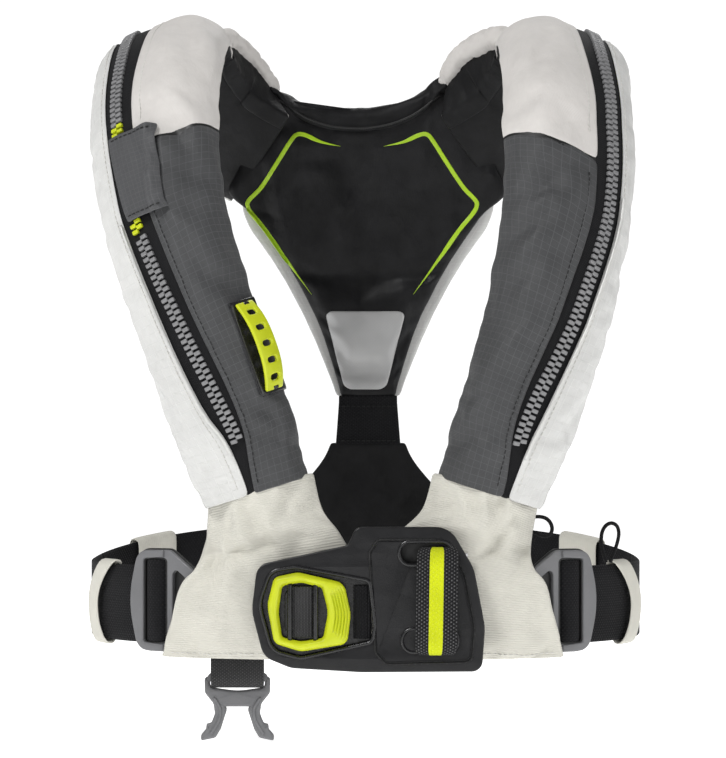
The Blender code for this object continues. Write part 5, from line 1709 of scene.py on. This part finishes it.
def buckle_plate():
    """The soft moulded plate with its recess, raised rims and stitched edge."""
    slots = {"upper": UPPER_SLOT, "lower": LOWER_SLOT}
    holes = [slot_loop(*slot) for slot in slots.values()]
    recess = rounded(RECESS)
    plate_piece("plate_sheet", [rounded(PLATE), recess] + holes, PLATE_THICK, PLATE_Y, "moulded_black",
                "moulded_black", 0.0013, "front_plate")
    for name, slot in slots.items():
        backing = box_loop(*slot[:2], 0.018, 0.008, 0.003)
        plate_piece(f"{name}_slot_backing", [backing], 0.0009, PLATE_Y + PLATE_THICK + 0.0018, "edge_black",
                    "black_plastic", 0.0002)
    plate_piece("recess_rim", [grown(recess, 0.0026), grown(recess, 0.0001)], RIM_THICK, PLATE_Y - RIM_RISE,
                "black_plastic", "moulded_black", 0.0012)
    for name, slot in slots.items():
        plate_piece(f"{name}_eyelet", [slot_loop(*slot, 0.0024), slot_loop(*slot, 0.0001)], RIM_THICK,
                    PLATE_Y - RIM_RISE, "black_plastic", "moulded_black", 0.0011)
    wide_holes = [slot_loop(*slot, 0.0020) for slot in slots.values()]
    plate_piece("stitched_patch", [rounded(STITCHED)] + wide_holes, 0.0014, PLATE_Y - 0.0007, "moulded_black",
                "moulded_black", 0.0005)
    line = grown(rounded(STITCHED), 0.0012)
    bead = line_tube("plate_groove", front_path(line, PLATE_Y - 0.0001), 0.0007, "edge_black", closed=True)
    dress(bead, "left_front", "black_plastic")
    path = front_path(line + line[:1], PLATE_Y - 0.0007)
    row = stitches("plate_stitches", path, [TO_FRONT] * len(path), "thread_black", 0.0030, 0.0010, 0.0009)
    dress(row, "left_front", "moulded_black")


RING_ACROSS, RING_TURNS, RING_GROOVES, GROOVE_DEPTH = 40, 160, 5, 0.0016
RING_CENTRE = Vector((-0.0375, -0.0042))
RING_RISE, RING_BOW = 0.0045, 0.0012
RING_ROUND, RING_ROUND_REACH = 0.0022, 0.0024  # how far the ring's edges round off, and from how far in
GRIP_FROM, GRIP_SPAN, GRIP_REACH = 0.30, 0.64, 0.62  # the grooves' share of the width, their half turn


def outline_reach(loop, centre, angle):
    """How far a closed outline is from a centre in one direction."""
    way = Vector((math.cos(angle), math.sin(angle)))
    found = 0.0
    for a, b in zip(loop, loop[1:] + loop[:1]):
        a, b = a - centre, b - centre
        cross_a, cross_b = way.x * a.y - way.y * a.x, way.x * b.y - way.y * b.x
        if (cross_a <= 0) != (cross_b <= 0):
            hit = a.lerp(b, cross_a / (cross_a - cross_b))
            found = max(found, hit.dot(way))
    return found


def release_ring():
    """The lime ring, crowned all round, with curved grip grooves down its wide side."""
    outer, hole = [rounded(loop, 10) for loop in (RING, RING_HOLE)]
    front = PLATE_Y - RING_RISE
    rows = []
    for angle in turns(RING_TURNS):
        way = Vector((math.cos(angle), math.sin(angle)))
        near, far = [outline_reach(loop, RING_CENTRE, angle) for loop in (hole, outer)]
        turned = (angle + math.pi) % (2 * math.pi) - math.pi
        grip = max(0.0, 1 - (abs(turned) / GRIP_REACH) ** 6)

        def across(t, depth):
            point = RING_CENTRE + way * (near + (far - near) * t)
            return Vector((point.x, front + depth, point.y))

        row = []
        for i in range(RING_ACROSS + 1):
            t = i / RING_ACROSS
            edge = min(t, 1 - t) * (far - near)
            round_off = RING_ROUND * max(0.0, 1 - edge / RING_ROUND_REACH) ** 2
            inside = min(1.0, max(0.0, (t - GRIP_FROM) / 0.05), max(0.0, (0.94 - t) / 0.05))
            ripple = 0.5 - 0.5 * math.cos(2 * math.pi * RING_GROOVES * (t - GRIP_FROM) / GRIP_SPAN)
            groove = grip * inside * GROOVE_DEPTH * ripple
            row.append(across(t, round_off + groove - RING_BOW * math.sin(math.pi * t)))
        rows.append(row + [across(t, RING_THICK - 0.0010) for t in (0.985, 0.5, 0.015)])
    mesh = weld(grid_mesh("release_ring_form", rows + rows[:1], round_rows=True), face_out=True)
    dress(keep("release_ring_form", mesh, "lime_plastic"), "release_ring", "lime_plastic", "release_ring")


RIB_DEPTH, RIB_PITCH, WEBBING_BOW = 0.00035, 0.0020, 0.0012
# Name, look, x and z ranges, depth and CAD nodes of the two parts of the belt's end that are seen.
LADDER_PARTS = (
    ("buckle", "crotch_grey", (-0.0440, -0.0308), (-0.0205, 0.0120), PLATE_Y - 0.0014, ()),
    ("beside_ring", "belt_black", (-0.0050, 0.0062), (-0.0215, 0.0125), PLATE_Y + 0.0016,
     ("buckle_webbing",)),
)
BAR_PLACES, BAR_Z, BAR_HALF, BAR_RADIUS = (-0.0456, -0.0292), -0.0042, 0.0180, 0.0016


def ladder_webbing():
    """The belt's end in the buckle: ribbed webbing between shiny bars, and its run beside the ring."""
    for name, look, (x_low, x_high), (z_low, z_high), y, nodes in LADDER_PARTS:
        rows = []
        for z in spread(z_low, z_high, 30):
            row = []
            for x in spread(x_low, x_high, 42):
                rib = RIB_DEPTH * math.cos(2 * math.pi * (x - x_low) / RIB_PITCH)
                bow = WEBBING_BOW * math.sin(math.pi * (x - x_low) / (x_high - x_low))
                row.append(Vector((x, y - rib - bow, z)))
            rows.append(row)
        made = cloth_sheet(f"{name}_webbing", rows, 0.0016, look, TO_FRONT)
        dress(made, "left_front", "webbing_black", *nodes)
    for k, x in enumerate(BAR_PLACES):
        path = []
        for t in spread(-1, 1, 20):
            path.append(Vector((x, PLATE_Y - 0.0024 - 0.0006 * (1 - t * t), BAR_Z + t * BAR_HALF)))
        bar = line_tube(f"buckle_bar_{k}", path, BAR_RADIUS, "black_plastic", 12)
        dress(bar, "left_front", "black_plastic")


# Name, edges across the loop, points across, thickness, lift, look, slot and CAD nodes of its layers.
LOOP_LAYERS = (
    ("tether_webbing", (-LOOP_WIDTH / 2, LOOP_WIDTH / 2), 20, 0.0024, 0.0, "loop_black", "webbing_black",
     ("tether_loop",)),
    ("tether_stripe", (-0.0052, 0.0040), 8, 0.0008, 0.00035, "loop_lime", "lime_plastic", ()),
)
LOOP_GATHER, LOOP_SAG, LOOP_LEAN, LOOP_SINK = 0.16, 0.0012, 0.0016, 0.0030


def tether_loop():
    """The safety-line loop: flecked webbing with a lime stripe, gathered into the plate's two slots."""
    for name, edges, count, thickness, lift, look, slot, nodes in LOOP_LAYERS:
        rows = []
        for t in spread(0, 1, 60):
            z = LOOP_FOOT + (LOOP_TOP - LOOP_FOOT) * (0.5 - 0.5 * math.cos(math.pi * t))
            reach = LOOP_REACH * math.sin(math.pi * t) ** 0.7
            gather = 1 - LOOP_GATHER * math.exp(-(min(t, 1 - t) / 0.10) ** 2)
            lean = LOOP_LEAN * (0.5 - t)
            row = []
            for x in spread(*edges, count):
                sag = LOOP_SAG * (2 * x / LOOP_WIDTH) ** 2
                y = PLATE_Y + LOOP_SINK - max(0.0, reach - sag) - lift
                row.append(Vector((LOOP_X + x * gather - lean, y, z)))
            rows.append(row)
        made = cloth_sheet(name, rows, thickness, look, TO_FRONT)
        dress(made, "tether_loop", slot, *nodes)


buckle_plate()
release_ring()
ladder_webbing()
tether_loop()


# ---- crotch strap --------------------------------------------------------------------------------
CLIP_Z = CROTCH_TOP - 0.0265
# Right half of the fork clip: shoulder, leg and barbed tip.
CLIP_HALF = (
    (0.0215, 0.0210, 0.0030), (0.0212, 0.0050, 0.0040), (0.0156, -0.0020, 0.0050), (0.0146, -0.0085, 0.0050),
    (0.0170, -0.0145, 0.0020), (0.0200, -0.0152, 0.0010), (0.0204, -0.0185, 0.0010), (0.0238, -0.0225, 0.0030),
    (0.0236, -0.0262, 0.0010), (0.0142, -0.0242, 0.0030), (0.0108, -0.0185, 0.0060), (0.0066, -0.0055, 0.0040),
)
CLIP_WINDOW = (
    (-0.0178, 0.0085, 0.003), (0.0000, 0.0060, 0.040), (0.0178, 0.0085, 0.003), (0.0178, 0.0160, 0.002),
    (-0.0178, 0.0160, 0.002),
)
CLIP_THICK, CLIP_EDGE = 0.0060, 0.0019
# The raised line down each leg of the clip: (x, z).
CLIP_RIDGE = ((0.0150, 0.0020), (0.0110, -0.0050), (0.0122, -0.0130), (0.0172, -0.0215))
CROTCH_RING, CROTCH_DEPTH, CROTCH_HEIGHT, CROTCH_RAISE = 40, 0.0066, 0.0080, 0.0070


def crotch_strap():
    """The grey webbing loop below the wearer's right waist panel, and the fork clip in it."""
    loop_z = CLIP_Z + 0.0185 - 0.0014
    centres, outs = [], []
    for a in turns(CROTCH_RING):
        c, s = math.cos(a), math.sin(a)
        z = loop_z + CROTCH_HEIGHT * s + CROTCH_RAISE * (0.5 + 0.5 * math.tanh(3 * s))
        centres.append(Vector((CROTCH_X, CROTCH_Y + CROTCH_DEPTH * c, z)))
        outs.append(Vector((0, c, s * 0.8)).normalized())
    webbing = band("crotch_loop", centres, [Vector((1, 0, 0))] * CROTCH_RING, outs, CROTCH_WIDTH, 0.0019,
                   "crotch_grey", closed=True)
    dress(webbing, "crotch_webbing", "webbing_grey", "crotch_webbing")

    right = rounded(CLIP_HALF, 5)
    left = [Vector((-point.x, point.y)) for point in reversed(right)]
    mesh = flat_mesh("fork_clip", [right + left, rounded(CLIP_WINDOW)], CLIP_THICK, CLIP_EDGE)
    place = Matrix.Translation((CROTCH_X, CROTCH_Y, CLIP_Z)) @ FRONT
    dress(carried("fork_clip", mesh, place, "grey_plastic"), "crotch_clip", "grey_plastic", "crotch_clip")
    for label, hand in SIDES:
        ridge = [Vector((CROTCH_X + hand * x, CROTCH_Y - 0.0032, CLIP_Z + z)) for x, z in CLIP_RIDGE]
        bead = line_tube(f"clip_ridge_{label}", smooth_path(ridge, 6), 0.0009, "grey_plastic")
        dress(bead, "crotch_clip", "grey_plastic")


crotch_strap()


# ---- pull handle and zip tab ---------------------------------------------------------------------
HANDLE_STATION, HANDLE_ANGLE, HANDLE_LONG, HANDLE_WIDE = 3.25, 24, 0.060, 0.017
HANDLE_BOW, HANDLE_LIFT, HANDLE_THICK = 0.0075, 0.0058, 0.0026
# The handle's slots as shares of its half length: their middles, half length, and their edge beads.
SLOT_MIDDLES, SLOT_HALF, SLOT_EDGE = [0.37 * k for k in (-2, -1, 0, 1, 2)], 0.065, 0.105
HANDLE_ACROSS = (-1, -0.82, -0.46, 0.0, 0.46, 0.82, 1)
SLOT_CELLS = (2, 3)  # the cells across the handle that a slot leaves open
SEAT_MARGIN, SEAT_LIFT, SEAT_BOW = 0.0022, 0.0034, 0.0012
SEAT_ACROSS = spread(-1, 1.9, 12)


def handle_frame():
    """The pull handle's own axes on the right lobe: X across it, Y up it and Z out of the cover."""
    high, low = [lobe_point(HANDLE_STATION + step, HANDLE_ANGLE) for step in (0.2, -0.2)]
    inner, outer = [lobe_point(HANDLE_STATION, HANDLE_ANGLE + turn) for turn in (-8, 8)]
    up, side = (high - low).normalized(), inner - outer
    side = (side - up * side.dot(up)).normalized()
    return axes_at(lobe_point(HANDLE_STATION, HANDLE_ANGLE), side, up, side.cross(up))


def handle_bar(place):
    """The lime bar, bowed, with its five slots left open in its grid."""
    marks = [-1.0, -0.93, 0.93, 1.0]
    for middle in SLOT_MIDDLES:
        marks += [middle + step for step in (-SLOT_EDGE, -SLOT_HALF, SLOT_HALF, SLOT_EDGE)]
    marks.sort()
    shape = bmesh.new()
    grid = []
    for t in marks:
        z = HANDLE_LIFT + HANDLE_BOW * (1 - abs(t) ** 2.5)
        half = (1 - 0.10 * abs(t) ** 4) * HANDLE_WIDE / 2
        row = [(x * half, t * HANDLE_LONG / 2, z - 0.0008 * x * x) for x in HANDLE_ACROSS]
        grid.append([shape.verts.new(point) for point in row])
    for r, (low, high) in enumerate(zip(grid, grid[1:])):
        centre = (marks[r] + marks[r + 1]) / 2
        in_slot = any(abs(centre - middle) < SLOT_HALF - 0.005 for middle in SLOT_MIDDLES)
        for c in range(len(HANDLE_ACROSS) - 1):
            if not (in_slot and c in SLOT_CELLS):
                shape.faces.new((low[c], low[c + 1], high[c + 1], high[c]))
    mesh = bpy.data.meshes.new("pull_handle_bar")
    shape.to_mesh(mesh)
    shape.free()
    mesh.shade_smooth()
    made = carried("pull_handle_bar", mesh, place, "lime_plastic")
    modify(made, "SOLIDIFY", thickness=HANDLE_THICK, offset=-1)
    modify(made, "SUBSURF", levels=2, render_levels=2)
    dress(settle(made), "pull_handle", "lime_plastic", "pull_handle")


def handle_seat(place):
    """The handle's black seat and the two posts that it clips on."""
    half = HANDLE_WIDE / 2 + SEAT_MARGIN
    rows = []
    for t in spread(-1.06, 1.06, 16):
        row = [(x * half, t * HANDLE_LONG / 2, SEAT_LIFT - SEAT_BOW * abs(x) ** 3) for x in SEAT_ACROSS]
        rows.append([place @ Vector(point) for point in row])
    seat = cloth_sheet("handle_seat", rows, 0.0016, "black_plastic", place.to_3x3() @ Vector((0, 0, 1)))
    dress(seat, "right_front", "black_plastic", "pull_handle_seat")
    for name, end in (("low", -1), ("high", 1)):
        path = [place @ Vector((0, end * HANDLE_LONG * 0.46, z)) for z in (0.0030, 0.0050, 0.0072)]
        post = line_tube(f"handle_post_{name}", path, 0.0022, "black_plastic", 10)
        dress(post, "right_front", "black_plastic")


TAB_LOW, TAB_HIGH, TAB_ROWS, TAB_ACROSS = 4.84, 5.80, 20, 26
TAB_LIFT, TAB_FOLD, TAB_BOW = 0.0040, 0.0022, 0.0014


def zip_tab(lobe):
    """The folded grip tab that closes over the burst zip's opening point."""
    rows = []
    for k, s in enumerate(spread(TAB_LOW, TAB_HIGH, TAB_ROWS)):
        share = k / TAB_ROWS
        first, last = lobe.column(s, 64 + 8 * share), lobe.column(s, 98 + 12 * share)
        row = []
        for t in spread(0, 1, TAB_ACROSS):
            fold = TAB_FOLD * math.exp(-((t - 0.16) / 0.10) ** 2)
            lift = TAB_LIFT + fold + TAB_BOW * math.sin(math.pi * t)
            row.append(lobe.at(s, first + (last - first) * t, lift))
        rows.append(row)
    outward = lobe.out((TAB_LOW + TAB_HIGH) / 2, TO_ZIP)
    made = cloth_sheet("zip_tab_cloth", rows, 0.0014, "tab_grey", outward)
    dress(made, "zip_tab", "grey_ripstop", "zip_tab")
    wide = lengths(rows[TAB_ROWS // 2])[-1]
    tall = lengths([row[TAB_ACROSS // 2] for row in rows])[-1]
    for k, row in enumerate((rows[1], rows[-2])):
        path = [point + outward * 0.0002 for point in row[2:-2]]
        line = stitches(f"tab_stitches_{k}", path, [outward] * len(path), "thread_black")
        dress(line, "zip_tab", "grey_ripstop")


handle_place = handle_frame()
handle_bar(handle_place)
handle_seat(handle_place)
zip_tab(LOBES[-1])


# ---- the frame's own pieces that stay ------------------------------------------------------------
KEPT_LOOKS = {
    "steel": ("gas_cylinder", "loop_anchor"),
    "black_plastic": (
        "buckle_tray", "buckle_ladder", "left_adjuster_bar", "right_adjuster_bar", "inflator_body",
        "oral_tube", "light_unit",
    ),
    "lime_plastic": ("inflator_cap", "inflator_lever", "oral_tube_cap", "whistle"),
    "bladder_film": ("left_bladder_arm", "right_bladder_arm"),
    "clear_lens": ("light_lens",),
}
for look, nodes in KEPT_LOOKS.items():
    for node in nodes:
        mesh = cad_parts[node].data
        mesh.materials.clear()
        mesh.materials.append(LOOKS[look])
